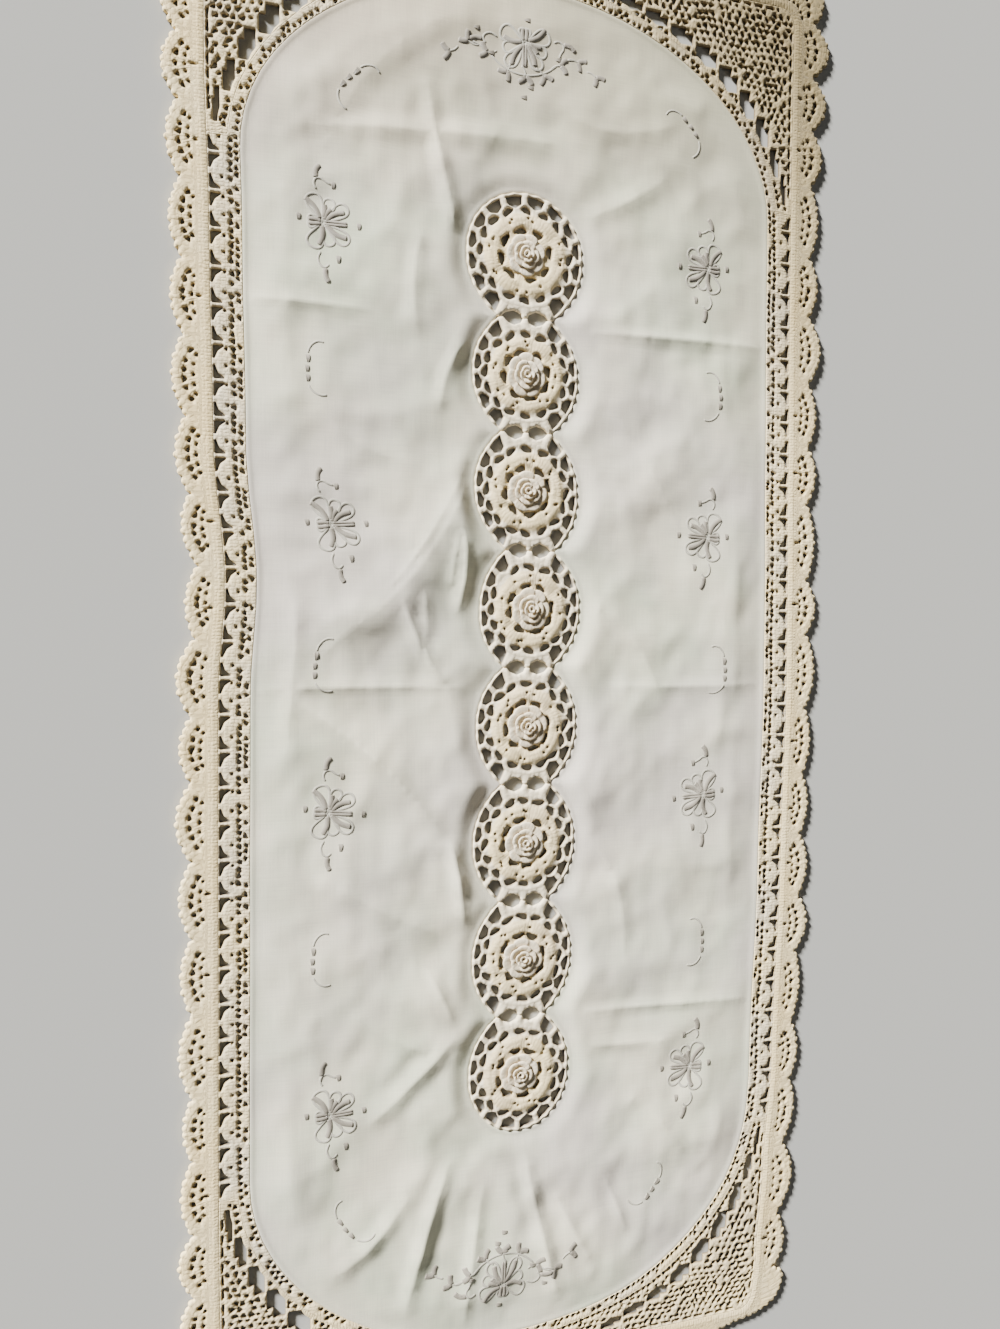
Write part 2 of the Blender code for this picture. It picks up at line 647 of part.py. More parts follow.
def build():
    """Clear the scene and make every piece of the runner."""
    for leftover in list(bpy.data.objects):
        bpy.data.objects.remove(leftover, do_unlink=True)
    shift = centring()
    linen_panel(shift, fabric("linen cloth", LINEN_COLOUR, 0.9))
    oval_edging(shift, fabric("edging cotton", LACE_COLOUR, 0.95))
    for number, corner in enumerate(CORNERS, 1):
        corner_net(number, corner, shift, fabric(f"net cotton {number}", LACE_COLOUR, 0.95))
    outer_border(shift, fabric("border cotton", LACE_COLOUR, 0.95))
    for index in range(len(MEDALLION_HALF_WIDTHS)):
        medallion(index, shift, fabric(f"rose cotton {index + 1}", ROSE_COLOUR, 0.95))


build()
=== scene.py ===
"""Looks of a crochet table runner: linen, crocheted lace, raised roses and white-work embroidery.

Drafting is in millimetres in the runner's own frame: X across it, Y along it, Z up. Every piece's
outline is read from its CAD solid, and every finished mesh is written in metres.
"""

import json
import math
import random

import bmesh
import bpy
import numpy as np
from bpy.props import FloatProperty, FloatVectorProperty, IntProperty, PointerProperty
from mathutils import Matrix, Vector, noise
from mathutils.geometry import delaunay_2d_cdt
from mathutils.kdtree import KDTree

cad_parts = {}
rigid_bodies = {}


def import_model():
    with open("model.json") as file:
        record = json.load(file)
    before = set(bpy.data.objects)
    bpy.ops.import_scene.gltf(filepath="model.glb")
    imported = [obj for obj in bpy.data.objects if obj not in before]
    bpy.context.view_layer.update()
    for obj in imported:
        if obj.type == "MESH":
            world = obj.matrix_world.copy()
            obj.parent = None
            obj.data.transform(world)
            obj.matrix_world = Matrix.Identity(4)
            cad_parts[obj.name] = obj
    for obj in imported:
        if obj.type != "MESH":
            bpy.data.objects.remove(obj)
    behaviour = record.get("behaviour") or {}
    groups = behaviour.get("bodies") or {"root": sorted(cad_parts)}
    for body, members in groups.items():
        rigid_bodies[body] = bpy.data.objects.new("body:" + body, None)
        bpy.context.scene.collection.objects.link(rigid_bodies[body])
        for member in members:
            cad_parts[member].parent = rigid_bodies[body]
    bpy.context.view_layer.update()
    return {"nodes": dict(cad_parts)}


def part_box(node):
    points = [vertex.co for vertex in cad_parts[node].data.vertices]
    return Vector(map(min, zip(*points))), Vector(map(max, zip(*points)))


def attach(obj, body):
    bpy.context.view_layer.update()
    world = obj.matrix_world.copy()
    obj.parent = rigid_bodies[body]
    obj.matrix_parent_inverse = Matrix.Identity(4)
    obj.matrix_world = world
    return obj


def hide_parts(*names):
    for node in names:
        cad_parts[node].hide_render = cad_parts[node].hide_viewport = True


bl_info = {
    "name": "Crochet table runner",
    "version": (1, 0, 0),
    "blender": (4, 5, 0),
    "location": "View3D > Sidebar > Runner",
    "description": "Dresses the runner's frame in linen, crochet lace, roses and embroidery",
    "category": "Object",
}

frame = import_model()

MM = 0.001
WELD = 1e-6                 # metres within which two of a solid's corners are one
UNDERSIDE = 0.05            # height of the worked pieces' undersides over the floor
BODY = "root"
LINEN, LACE, ROSE = "linen", "lace_cotton", "rose_cotton"
NETS = ("corner_net_1", "corner_net_2", "corner_net_3", "corner_net_4")
MEDALLIONS = tuple(f"medallion_{i}" for i in range(1, 9))

# Drafting lines that the solids are laid out on.
OVAL_HALF_WIDTH = 158.0
OVAL_STRAIGHT = 280.0       # half the length of its straight sides
OVAL_END = 115.0            # rise of its rounded ends
OVAL_ROUND = 2.0 * (2.0 * OVAL_STRAIGHT + math.pi * 138.0)
BAND_X = 175.0
BAND_Y = 414.0
BAND_CORNER = 10.0
BAND_WIDTH = 6.0
FAN_VALLEY = 13.6           # from the band's inner line to the notch between two fans
SHIFT_X = 0.79              # the laid runner is centred by this much along X
MEDALLION_SIZE = (64.0, 68.5)   # that its rounds are drafted at
PETAL_TURN = 12.0           # degrees from +X to a medallion's first petal
EDGING_STEP = 3.9           # spacing of the holes in the edging's rows
JOIN = 0.16                 # how far a piece runs into the one that it is worked onto
END_FROM, END_BLEND = 255.0, 40.0   # where along Y the edging changes to its work round the ends
NET_HEART = (95.0, 300.0)   # the nets' rows fan out from here
NOTCH_TURN = -33.0          # a sharper turn of the border's rim, in degrees, is a notch
FAN_WIDTHS = (20.0, 60.0)
WIDE_FAN = 36.0             # from this width a fan has one hole more in its arc
DARKER_TOWARD = (1.0, 0.9, 0.0)

# How the runner lies. Columns: place along Y, shift of the left side, of the right side, and of the
# right side along Y.
LAY = np.array((
    (450.0, -4.6, -0.8, 0.0),
    (334.0, -5.0, -0.9, 0.0),
    (237.0, -2.7, -0.5, 0.0),
    (127.0, -1.1, 0.8, 0.0),
    (52.0, 4.6, 1.9, 0.0),
    (-12.0, 0.8, 2.3, 0.0),
    (-121.0, 0.4, 0.2, 0.0),
    (-253.0, 0.0, -3.8, 0.0),
    (-317.0, 0.0, -8.5, -1.0),
    (-376.0, 0.6, -13.0, -5.0),
    (-412.0, 0.9, -16.0, 0.0),
    (-444.0, 1.0, -18.5, 0.0),
))[::-1]

# Soft folds of the linen, as in the solid. Columns: start x, start y, middle x, middle y, end x,
# end y, half width, height.
FOLDS = (
    (-156.0, 203.5, -122.0, 204.0, -88.0, 202.5, 5.0, 1.0),
    (38.0, 202.5, 95.0, 203.5, 155.0, 203.5, 5.0, 1.4),
    (-57.0, 334.5, -50.0, 290.5, -41.0, 252.5, 8.0, 2.6),
    (-130.0, 297.5, -60.0, 304.5, 24.0, 308.5, 10.0, 1.8),
    (-34.0, 126.5, -68.0, 70.5, -124.0, 10.5, 10.0, 2.8),
    (-34.0, 102.5, -45.0, 76.5, -49.0, 50.5, 7.0, 2.2),
    (-155.0, -6.5, -95.0, -5.5, -36.0, -6.5, 4.0, 0.9),
    (44.0, -6.5, 100.0, -7.5, 155.0, -6.5, 4.0, 0.7),
    (-134.0, -13.5, -88.0, -48.5, -50.0, -92.5, 8.0, 3.2),
    (-46.0, -95.5, -41.0, -117.5, -37.0, -145.5, 6.0, 2.6),
    (-40.0, -209.5, -62.0, -231.5, -93.0, -257.5, 10.0, 2.6),
    (-60.0, -167.5, -50.0, -185.5, -43.0, -201.5, 5.0, 1.6),
    (-42.0, -283.5, -56.0, -325.5, -68.0, -371.5, 8.0, 2.8),
    (6.0, -285.5, 16.0, -329.5, 33.0, -379.5, 8.0, 2.8),
    (26.0, -313.5, 38.0, -335.5, 53.0, -357.5, 6.0, 1.4),
    (60.0, -309.5, 68.0, -327.5, 77.0, -345.5, 5.0, 1.2),
    (-66.0, -299.5, -88.0, -325.5, -112.0, -341.5, 9.0, 1.8),
    (38.0, -204.5, 92.0, -205.5, 154.0, -207.5, 5.0, 1.4),
    (44.0, -226.5, 70.0, -227.5, 96.0, -228.5, 6.0, 1.0),
)
# Finer creases that only the cloth shows. Columns as in FOLDS.
CREASES = (
    (-28.0, 128.5, -66.0, 64.5, -122.0, 14.5, 24.0, 3.0),
    (-120.0, 150.5, -96.0, 128.5, -60.0, 120.5, 9.0, 0.9),
    (-60.0, 250.5, -66.0, 225.5, -64.0, 190.5, 7.0, 1.2),
    (-34.0, 190.5, -46.0, 176.5, -52.0, 150.5, 6.0, 1.4),
    (36.0, 268.5, 62.0, 280.5, 90.0, 300.5, 9.0, 1.2),
    (52.0, 160.5, 80.0, 120.5, 110.0, 60.5, 12.0, 1.0),
    (40.0, 40.5, 66.0, 22.5, 88.0, -20.5, 8.0, 1.1),
    (-84.0, 60.5, -74.0, 34.5, -56.0, -2.5, 6.0, 2.4),
    (-66.0, 26.5, -60.0, 8.5, -48.0, -4.5, 5.0, 2.2),
    (-46.0, 96.5, -40.0, 70.5, -46.0, 34.5, 6.0, 2.4),
    (-72.0, 78.5, -66.0, 52.5, -62.0, 20.5, 7.0, 1.8),
    (-140.0, 50.5, -136.0, 10.5, -142.0, -60.5, 9.0, 0.8),
    (-120.0, -110.5, -90.0, -130.5, -50.0, -150.5, 9.0, 1.1),
    (42.0, -100.5, 60.0, -130.5, 66.0, -180.5, 8.0, 1.2),
    (-100.0, -190.5, -70.0, -212.5, -36.0, -222.5, 8.0, 1.2),
    (-20.0, -300.5, -26.0, -340.5, -30.0, -384.5, 7.0, 1.6),
    (70.0, -260.5, 96.0, -280.5, 120.0, -310.5, 9.0, 1.1),
    (-120.0, 270.5, -90.0, 330.5, -40.0, 372.5, 12.0, 0.9),
    (20.0, 330.5, 50.0, 320.5, 96.0, 330.5, 9.0, 0.9),
)
FOLD_SAMPLES = 96
FOLD_TAPER = 0.6

# The corner nets open up in rounds, drafted for the corner at +X +Y.
# Columns: centre x, centre y, radius.
NET_ROUNDS = (
    (169.0, 327.0, 4.5), (163.5, 347.0, 9.5), (161.5, 371.0, 9.5), (158.0, 396.0, 12.0),
    (142.5, 373.0, 5.6), (137.0, 394.0, 8.4), (118.5, 397.5, 9.6), (100.5, 402.0, 8.0),
    (83.5, 405.0, 7.0), (67.5, 407.5, 6.0), (51.0, 409.5, 4.6), (33.0, 408.5, 5.2),
    (14.0, 407.5, 5.8),
)

# Sprigs sewn on the linen. Columns: x, y, turn in degrees, mirrored.
SPRIGS = (
    (-116.0, 247.5, 0.0, False), (-116.0, 84.5, 4.0, False), (-116.0, -75.5, -4.0, False),
    (-114.0, -247.5, 3.0, False), (116.0, 247.5, 0.0, True), (116.0, 84.5, -4.0, True),
    (116.0, -75.5, 4.0, True), (114.0, -247.5, -3.0, True), (-1.0, 362.0, -90.0, False),
    (-6.0, -362.0, 90.0, False),
)
# Small curls with dots. Columns: x, y, turn in degrees, mirrored.
CURLS = (
    (-100.0, 326.0, -42.0, False), (-125.0, 168.0, 0.0, False), (-124.0, 6.0, 0.0, False),
    (-124.0, -159.0, 0.0, False), (-103.0, -315.0, 40.0, False), (104.0, 330.0, 42.0, True),
    (124.0, 170.0, 0.0, True), (128.0, 2.0, 0.0, True), (119.0, -169.0, 0.0, True),
    (92.0, -322.0, -40.0, True),
)


def linear(code):
    """Linear red, green and blue of an sRGB hex colour."""
    parts = [int(code[i:i + 2], 16) / 255.0 for i in (0, 2, 4)]
    return tuple(c / 12.92 if c <= 0.04045 else ((c + 0.055) / 1.055) ** 2.4 for c in parts)


# ---------------------------------------------------------------- settings

def millimetres(name, text, default, **more):
    """A setting in millimetres."""
    return FloatProperty(name=name, description=f"{text}, in mm", default=default, **more)


def plain(name, text, default, **more):
    """A setting without a unit, or an angle."""
    return FloatProperty(name=name, description=text, default=default, **more)


def dye(name, text, code):
    """A setting for a colour."""
    return FloatVectorProperty(name=name, description=text, subtype="COLOR", default=linear(code))


class LinenSettings(bpy.types.PropertyGroup):
    """Sizes and colours of the linen."""
    colour: dye("Colour", "Bleached linen", "EDE7CE")
    mesh_step: millimetres("Mesh step", "Spacing of the cloth's points", 3.0, min=1.0)
    thickness: millimetres("Thickness", "Thickness of the cloth", 0.5)
    rest: millimetres("Rest", "Height of the flat cloth's upper face", 1.5)
    hem: millimetres("Hem", "Width of the turned hem", 2.4)
    hem_rise: millimetres("Hem rise", "How far the hem stands up", 0.35)
    fold_share: plain("Fold share", "Height of the creases against the table's", 0.95)
    crumple: millimetres("Crumple", "Height of the crumpled facets", 2.7)
    lap: millimetres("Lap", "How far the hem runs under the medallions", 0.5)
    drawn: millimetres("Drawn height", "Height of the cloth at the medallions", 1.2)
    ripple: millimetres("Ripple", "Height of the loose ripples", 1.6)


class LaceSettings(bpy.types.PropertyGroup):
    """Sizes and colours of the crochet."""
    colour: dye("Colour", "Ecru crochet cotton", "FFEAB6")
    pale: dye("Pale", "Chain cords, in paler cotton", "F8EACC")
    thickness: millimetres("Thickness", "Thickness of the worked ground", 2.1)
    rounding: millimetres("Rounding", "Width over which an edge rounds off", 0.8)
    mesh_step: millimetres("Mesh step", "Spacing of the ground's points", 1.8, min=0.8)
    post: millimetres("Post", "Spacing of the trebles in a row", 1.9)
    row: millimetres("Row", "Height of a row of trebles", 3.6)
    net_pitch: millimetres("Net pitch", "Spacing of the nets' holes", 4.2)
    picot: millimetres("Picot", "Spacing of the picots on the rim", 4.7)
    seed: IntProperty(name="Seed", description="Start of the hand's unevenness", default=7)


class EmbroiderySettings(bpy.types.PropertyGroup):
    """Sizes and colour of the sewn sprigs."""
    colour: dye("Colour", "Grey-beige floss", "948D80")
    width: millimetres("Width", "Width of a sewn line of weight one", 1.9)
    rise: millimetres("Rise", "How far the floss stands up", 0.42)


class StageSettings(bpy.types.PropertyGroup):
    """Floor, lights and camera."""
    floor: dye("Floor", "Plain pale floor", "B4B4B0")
    key: plain("Key light", "Strength of the low, broad light", 17.4)
    rise: plain("Key height", "How high the broad light stands", math.radians(18.0), subtype="ANGLE")
    spread: plain("Key spread", "Softness of its shadows", math.radians(9.0), subtype="ANGLE")
    fill: plain("Fill light", "Strength of the light opposite the key", 0.5)
    sky: plain("Sky", "Strength of the even light", 0.06)
    lens: millimetres("Lens", "Focal length of the camera", 27.09)


SETTINGS = {
    "runner_linen": LinenSettings,
    "runner_lace": LaceSettings,
    "runner_embroidery": EmbroiderySettings,
    "runner_stage": StageSettings,
}


# ---------------------------------------------------------------- laying out

def eased(places, column):
    """Value of a column of LAY at places along Y, eased at each row."""
    rows = LAY[:, 0]
    below = np.clip(np.searchsorted(rows, places) - 1, 0, len(rows) - 2)
    share = unit((places - rows[below]) / (rows[below + 1] - rows[below]))
    soft = 0.5 - 0.5 * np.cos(math.pi * share)
    return LAY[below, column] * (1.0 - soft) + LAY[below + 1, column] * soft


def laid(points):
    """Where drafted points end up in the row frame, in millimetres."""
    points = np.asarray(points, float).reshape(-1, 2)
    x, y = points.T
    across = (x + BAND_X) / (2.0 * BAND_X)
    left, right = eased(y, 1), eased(y, 2)
    return np.stack((x + left + (right - left) * across + SHIFT_X, y + eased(y, 3) * across), 1)


def drafted(points):
    """The drafted places of points in the row frame."""
    points = np.asarray(points, float).reshape(-1, 2)
    guess = points.copy()
    for _ in range(4):
        guess += points - laid(guess)
    return guess


def moved(line, x, y, turn, mirror=False):
    """A line of points mirrored if asked, turned and moved to its place."""
    along, side = np.asarray(line, float).T * (((-1.0,), (1.0,)) if mirror else 1.0)
    c, s = math.cos(turn), math.sin(turn)
    return np.stack((x + along * c - side * s, y + along * s + side * c), 1)


def staggered(xs, ys, step, climb):
    """A grid of points, every second row of it set off by half a step."""
    grid = np.stack(np.meshgrid(xs, ys), 2).reshape(-1, 2)
    grid[:, 0] += 0.5 * step * (np.round(grid[:, 1] / climb) % 2.0)
    return grid


def unit(values):
    """Values held between 0 and 1."""
    return np.clip(values, 0.0, 1.0)


def cross(first, second):
    """Cross products of two lists of flat vectors."""
    (ax, ay), (bx, by) = first.T, second.T
    return ax * by - ay * bx


def ridge(places, crest, width):
    """A rounded ridge one high along a line."""
    return np.exp(-((places - crest) / width) ** 2)


def on_curve(curve, t):
    """Points of a quadratic curve through its start, middle and end."""
    start, middle, end = (np.array(curve[i:i + 2]) for i in (0, 2, 4))
    pull = 2.0 * middle - 0.5 * (start + end)
    t = np.asarray(t, float)[:, None]
    return (1.0 - t) ** 2 * start + 2.0 * t * (1.0 - t) * pull + t * t * end


def oval_gauge(points):
    """Rough distance of drafted points outside the linen's oval, in millimetres."""
    x, y = np.abs(points).T
    past = np.maximum(y - OVAL_STRAIGHT, 0.0)
    reach = np.hypot(x / OVAL_HALF_WIDTH, past / OVAL_END)
    slope = np.hypot(x / OVAL_HALF_WIDTH ** 2, past / OVAL_END ** 2) / np.maximum(reach, 1e-6)
    return (reach - 1.0) / np.maximum(slope, 1e-6)


def band_place(points):
    """Distance along the band's line and distance outside it, for drafted points."""
    core_x, core_y = BAND_X - BAND_CORNER, BAND_Y - BAND_CORNER
    x, y = points.T
    near_x, near_y = np.clip(x, -core_x, core_x), np.clip(y, -core_y, core_y)
    away_x, away_y = x - near_x, y - near_y
    outside = np.hypot(away_x, away_y) - BAND_CORNER
    flat_x = core_x - np.abs(x)
    flat_y = core_y - np.abs(y)
    inside = (flat_x > 0.0) & (flat_y > 0.0)
    by_side = inside & (flat_x < flat_y)
    outside = np.where(inside, -BAND_CORNER - np.minimum(flat_x, flat_y), outside)
    side = (np.abs(away_x) >= np.abs(away_y)) & ~inside | by_side
    return np.where(side, y, x + 2.0 * BAND_Y), outside


# ---------------------------------------------------------------- outlines

def outlines(node):
    """Rim and gaps of a CAD piece's underside in millimetres, with the material on their left."""
    bm = bmesh.new()
    bm.from_mesh(frame["nodes"][node].data)
    bmesh.ops.remove_doubles(bm, verts=bm.verts, dist=WELD)
    bm.normal_update()
    following = {}
    for face in bm.faces:
        if face.normal.z > -0.5:
            continue
        for corner in face.loops:
            others = [f for f in corner.edge.link_faces if f is not face]
            if any(f.normal.z > -0.5 for f in others):
                following[corner.link_loop_next.vert] = corner.vert
    loops = []
    while following:
        first, vert = following.popitem()
        loop = [first]
        while vert is not first:
            loop.append(vert)
            vert = following.pop(vert)
        loops.append(np.array([(v.co.x / MM, v.co.y / MM) for v in loop]))
    bm.free()
    return sorted(loops, key=lambda loop: -abs(area(loop)))


def area(loop):
    """Signed area of a closed outline."""
    after = np.roll(loop, -1, axis=0)
    return 0.5 * float(np.sum(cross(loop, after)))


def resampled(loop, step):
    """A closed outline with no edge longer than step."""
    points = []
    for start, end in zip(loop, np.roll(loop, -1, axis=0)):
        count = max(1, math.ceil(np.linalg.norm(end - start) / step))
        points += [start + (end - start) * i / count for i in range(count)]
    return np.array(points)


def softened(loop, rounds):
    """A closed outline with its corners cut off in so many rounds."""
    for _ in range(rounds):
        after = np.roll(loop, -1, axis=0)
        loop = np.stack((0.75 * loop + 0.25 * after, 0.25 * loop + 0.75 * after), 1).reshape(-1, 2)
    return loop


def left_of(along):
    """Unit vectors to the left of some directions."""
    along = along / np.maximum(np.linalg.norm(along, axis=1), 1e-9)[:, None]
    return np.stack((-along[:, 1], along[:, 0]), 1)


def normals(loop):
    """Unit normals of a closed outline, pointing to its left."""
    return left_of(np.roll(loop, -1, axis=0) - np.roll(loop, 1, axis=0))


def grown(loop, by):
    """An outline moved away from its material, or into it where by is negative."""
    return loop - normals(loop) * by


def tree_of(loops, step=0.7):
    """Search tree of the points along some outlines, or with no step of the points themselves."""
    points = np.concatenate([resampled(loop, step) if step else loop for loop in loops])
    tree = KDTree(len(points))
    for index, (x, y) in enumerate(points):
        tree.insert((x, y, 0.0), index)
    tree.balance()
    return tree


def distances(tree, points):
    """Distance of each point to the tree's nearest one."""
    return np.array([tree.find((x, y, 0.0))[2] for x, y in points])


def hand(settings, start):
    """Draws between two values for the unevenness of hand work, the same in each run."""
    return random.Random(settings.seed + start).uniform


def hole(x, y, half_width, half_height, turn, vary, corners=9, wedge=0.22):
    """A small hole in hand work: a rounded wedge, never quite the same twice, clockwise."""
    points = []
    start = vary(0.0, 2.0 * math.pi)
    lean = vary(0.0, 2.0 * math.pi)
    for i in range(corners):
        angle = start - 2.0 * math.pi * i / corners
        swell = 1.0 + wedge * math.cos(3.0 * angle + lean) + vary(-0.07, 0.07)
        points.append((half_width * swell * math.cos(angle), half_height * swell * math.sin(angle)))
    return moved(points, x, y, turn)


def inside(loops, points):
    """Whether each point lies inside the first outline and outside the others."""
    crossings = np.zeros(len(points), int)
    for loop in loops:
        for (ax, ay), (bx, by) in zip(loop, np.roll(loop, -1, axis=0)):
            level = (points[:, 1] >= min(ay, by)) & (points[:, 1] < max(ay, by))
            if level.any():
                reach = ax + (points[:, 1] - ay) * (bx - ax) / (by - ay if by != ay else 1.0)
                crossings += level & (points[:, 0] < reach)
    return crossings % 2 == 1


def placed(holes, loops, bridge):
    """Holes that leave a bridge of work to the outlines and to each other."""
    tree = tree_of(loops)
    kept, cells = [], {}
    worked_in = inside(loops, np.array([points.mean(axis=0) for points in holes]))
    for points in (h for h, ok in zip(holes, worked_in) if ok):
        walk = resampled(points, 0.5)
        if min(tree.find((x, y, 0.0))[2] for x, y in walk) < bridge:
            continue
        centre = points.mean(axis=0)
        cell = (int(centre[0] // 10.0), int(centre[1] // 10.0))
        around = [o for i in (-1, 0, 1) for j in (-1, 0, 1)
                  for o in cells.get((cell[0] + i, cell[1] + j), [])
                  if np.linalg.norm(centre - o.mean(axis=0)) < 9.0]
        if any(np.linalg.norm(walk[:, None] - o[None], axis=2).min() < bridge for o in around):
            continue
        cells.setdefault(cell, []).append(walk)
        kept.append(points)
    return kept


# ---------------------------------------------------------------- meshes

def triangles_of(loops, extra):
    """Points and triangles of the first outline less the others."""
    points, faces = [], []
    for loop in loops:
        ring = list(range(len(points), len(points) + len(loop)))
        faces.append(ring if area(loop) > 0.0 else ring[::-1])
        points += [Vector(p) for p in loop]
    points += [Vector(p) for p in extra]
    places, _, triangles, origins, _, owners = delaunay_2d_cdt(points, [], faces, 1, 1e-4, True)
    number = {old: new for new, origin in enumerate(origins) for old in origin}
    kept = [t for t, owner in zip(triangles, owners) if list(owner) == [0]]
    return np.array([tuple(p) for p in places]), kept, number


def worked(name, loops, extra, height, grain, tone, base, under, thin=False):
    """A closed sheet between a shaped upper face and a lower face.

    For points in millimetres, height and base give the height of the upper and lower face, tone and
    under how deep in shade each is, and grain the place in the rows. The lower face of a thin sheet
    follows the upper one; otherwise it is plain.
    """
    bm = bmesh.new()
    sides = []
    for upper in (True, False):
        places, triangles, number = triangles_of(loops, extra if upper or thin else [])
        used = sorted({i for t in triangles for i in t})
        heights = height(places) if upper else base(places)
        verts = {i: bm.verts.new((places[i][0] * MM, places[i][1] * MM, heights[i] * MM)) for i in used}
        for t in triangles:
            corners = [verts[i] for i in t]
            bm.faces.new(corners if upper else corners[::-1])
        sides.append((verts, number))
    first = 0
    for loop in loops:
        for i in range(len(loop)):
            ends = (first + i, first + (i + 1) % len(loop))
            top_a, top_b = (sides[0][0][sides[0][1][e]] for e in ends)
            low_a, low_b = (sides[1][0][sides[1][1][e]] for e in ends)
            bm.faces.new((top_a, low_a, low_b, top_b))
        first += len(loop)
    bmesh.ops.recalc_face_normals(bm, faces=bm.faces)
    bm.verts.index_update()
    top = {v.index for v in sides[0][0].values()}
    flat = np.array([(v.co.x / MM, v.co.y / MM) for v in bm.verts])
    rows = grain(flat)
    depth = np.where([i in top for i in range(len(flat))], tone(flat), under(flat))
    uv = bm.loops.layers.uv.new("work")
    hollow = bm.verts.layers.float.new("hollow")
    for vert in bm.verts:
        vert[hollow] = depth[vert.index]
    for face in bm.faces:
        face.smooth = True
        for corner in face.loops:
            corner[uv].uv = rows[corner.vert.index]
    return finished(bm, name)


def finished(bm, name):
    """An object at the origin from a bmesh in metres."""
    mesh = bpy.data.meshes.new(name)
    bm.to_mesh(mesh)
    bm.free()
    piece = bpy.data.objects.new(name, mesh)
    bpy.context.scene.collection.objects.link(piece)
    return piece


def dress(piece, material, slot, *nodes):
    """Gives a piece its material and its body, and hides the solids that it stands for."""
    piece.data.materials.append(material)
    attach(piece, BODY)
    if nodes:
        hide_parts(*nodes)
    return piece


def rounded_edge(depth, rounding, share=0.35):
    """Height share of a worked edge: low at the very edge, full once rounded off."""
    run = unit(depth / rounding)
    return share + (1.0 - share) * np.sqrt(1.0 - (1.0 - run) ** 2)


def lace_piece(name, loops, joined, holes, ground, relief, grain, settings, material, slot, node,
               shade=0.7):
    """One crocheted piece: outlines, small holes, points of its ground and a relief on top.

    The outlines numbered in joined lie against another piece and keep their full height.
    """
    loops = [grown(loop, JOIN) if i in joined else loop for i, loop in enumerate(loops)]
    edges = loops + holes
    free = [loop for i, loop in enumerate(loops) if i not in joined]
    tree, free_tree, holes_tree = tree_of(edges), tree_of(free + holes), tree_of(holes)
    gaps_tree = tree_of([loop for loop in free if area(loop) < 0.0] or holes)
    joined_tree = tree_of([loops[i] for i in joined] or loops[:1])
    rings = np.concatenate([loop + normals(loop) * settings.rounding * 0.6 for loop in edges])
    clear = distances(tree, rings) > settings.rounding * 0.45
    ground = np.asarray(ground, float).reshape(-1, 2)
    extra = np.concatenate((rings[clear], ground[distances(tree, ground) > settings.rounding * 1.1]))

    def height(points):
        lift = rounded_edge(distances(free_tree, points), settings.rounding)
        return lift * (settings.thickness + relief(points))

    def tone(points):
        # Painted shade: dark round the small holes and along the edges of the gaps.
        near_hole = shade * unit(1.0 - distances(holes_tree, points) / 0.8) ** 1.5
        return np.maximum(near_hole, 0.9 * unit(1.0 - distances(gaps_tree, points) / 0.6))

    def base(points):
        return np.full(len(points), UNDERSIDE)

    def under(points):
        # Painted shade over the lower face, left off where it lies against another piece.
        return unit(distances(joined_tree, points) / 0.3)

    piece = worked(name, edges, extra, height, grain, tone, base, under)
    return dress(piece, material, slot, node)


# ---------------------------------------------------------------- materials

def plug(tree, socket, value):
    """Links an input to another node's output, or sets its value."""
    if isinstance(value, bpy.types.NodeSocket):
        tree.links.new(value, socket)
    else:
        socket.default_value = value


def add(tree, kind, *values, named=(), out=0, **settings):
    """Output of a new shader node, with its settings, and its inputs in their order or by name.

    A kind in capitals is an operation of the Math node.
    """
    if kind.isupper():
        kind, settings = "Math", {"operation": kind}
    made = tree.nodes.new("ShaderNode" + kind)
    for key, value in settings.items():
        setattr(made, key, value)
    for socket, value in (*enumerate(values), *dict(named).items()):
        plug(tree, made.inputs[socket], value)
    return made.outputs[out]


def coat(tree, share, under, over, blend="MIX"):
    """A colour with a share of another one over it."""
    under, over = (c if isinstance(c, bpy.types.NodeSocket) else (*c, 1.0) for c in (under, over))
    return add(tree, "Mix", share, named={6: under, 7: over}, out=2, data_type="RGBA", blend_type=blend)


def wave(tree, place, pitch):
    """A sine wave with one crest in every pitch."""
    return add(tree, "SINE", add(tree, "MULTIPLY", place, 2.0 * math.pi / pitch))


def patches(tree, place, scale, detail, low, high):
    """Soft patches of noise: none of it below low, all of it above high."""
    cloud = add(tree, "TexNoise", place, named={"Scale": scale, "Detail": detail})
    return add(tree, "MapRange", cloud, low, high)


def toward_corner(tree, place, start, end, most):
    """How far toward its +X +Y corner the colour has darkened, from start to end in metres."""
    reach = add(tree, "VectorMath", place, DARKER_TOWARD, out="Value", operation="DOT_PRODUCT")
    return add(tree, "MapRange", reach, start, end, 0.0, most)


def blank(name, roughness, sheen=0.0):
    """A material with only its shader, and its node tree."""
    material = bpy.data.materials.new(name)
    material.use_nodes = True
    inputs = material.node_tree.nodes["Principled BSDF"].inputs
    for key, value in (("Roughness", roughness), ("IOR", 1.47), ("Sheen Weight", sheen)):
        inputs[key].default_value = value
    return material, material.node_tree


def surfaced(material, colour, height, strength, depth):
    """The material with its colour, and with bumps of a depth in millimetres."""
    tree = material.node_tree
    inputs = tree.nodes["Principled BSDF"].inputs
    bump = add(tree, "Bump", named={"Height": height, "Strength": strength, "Distance": depth * MM})
    plug(tree, inputs["Normal"], bump)
    plug(tree, inputs["Base Color"], colour)
    return material


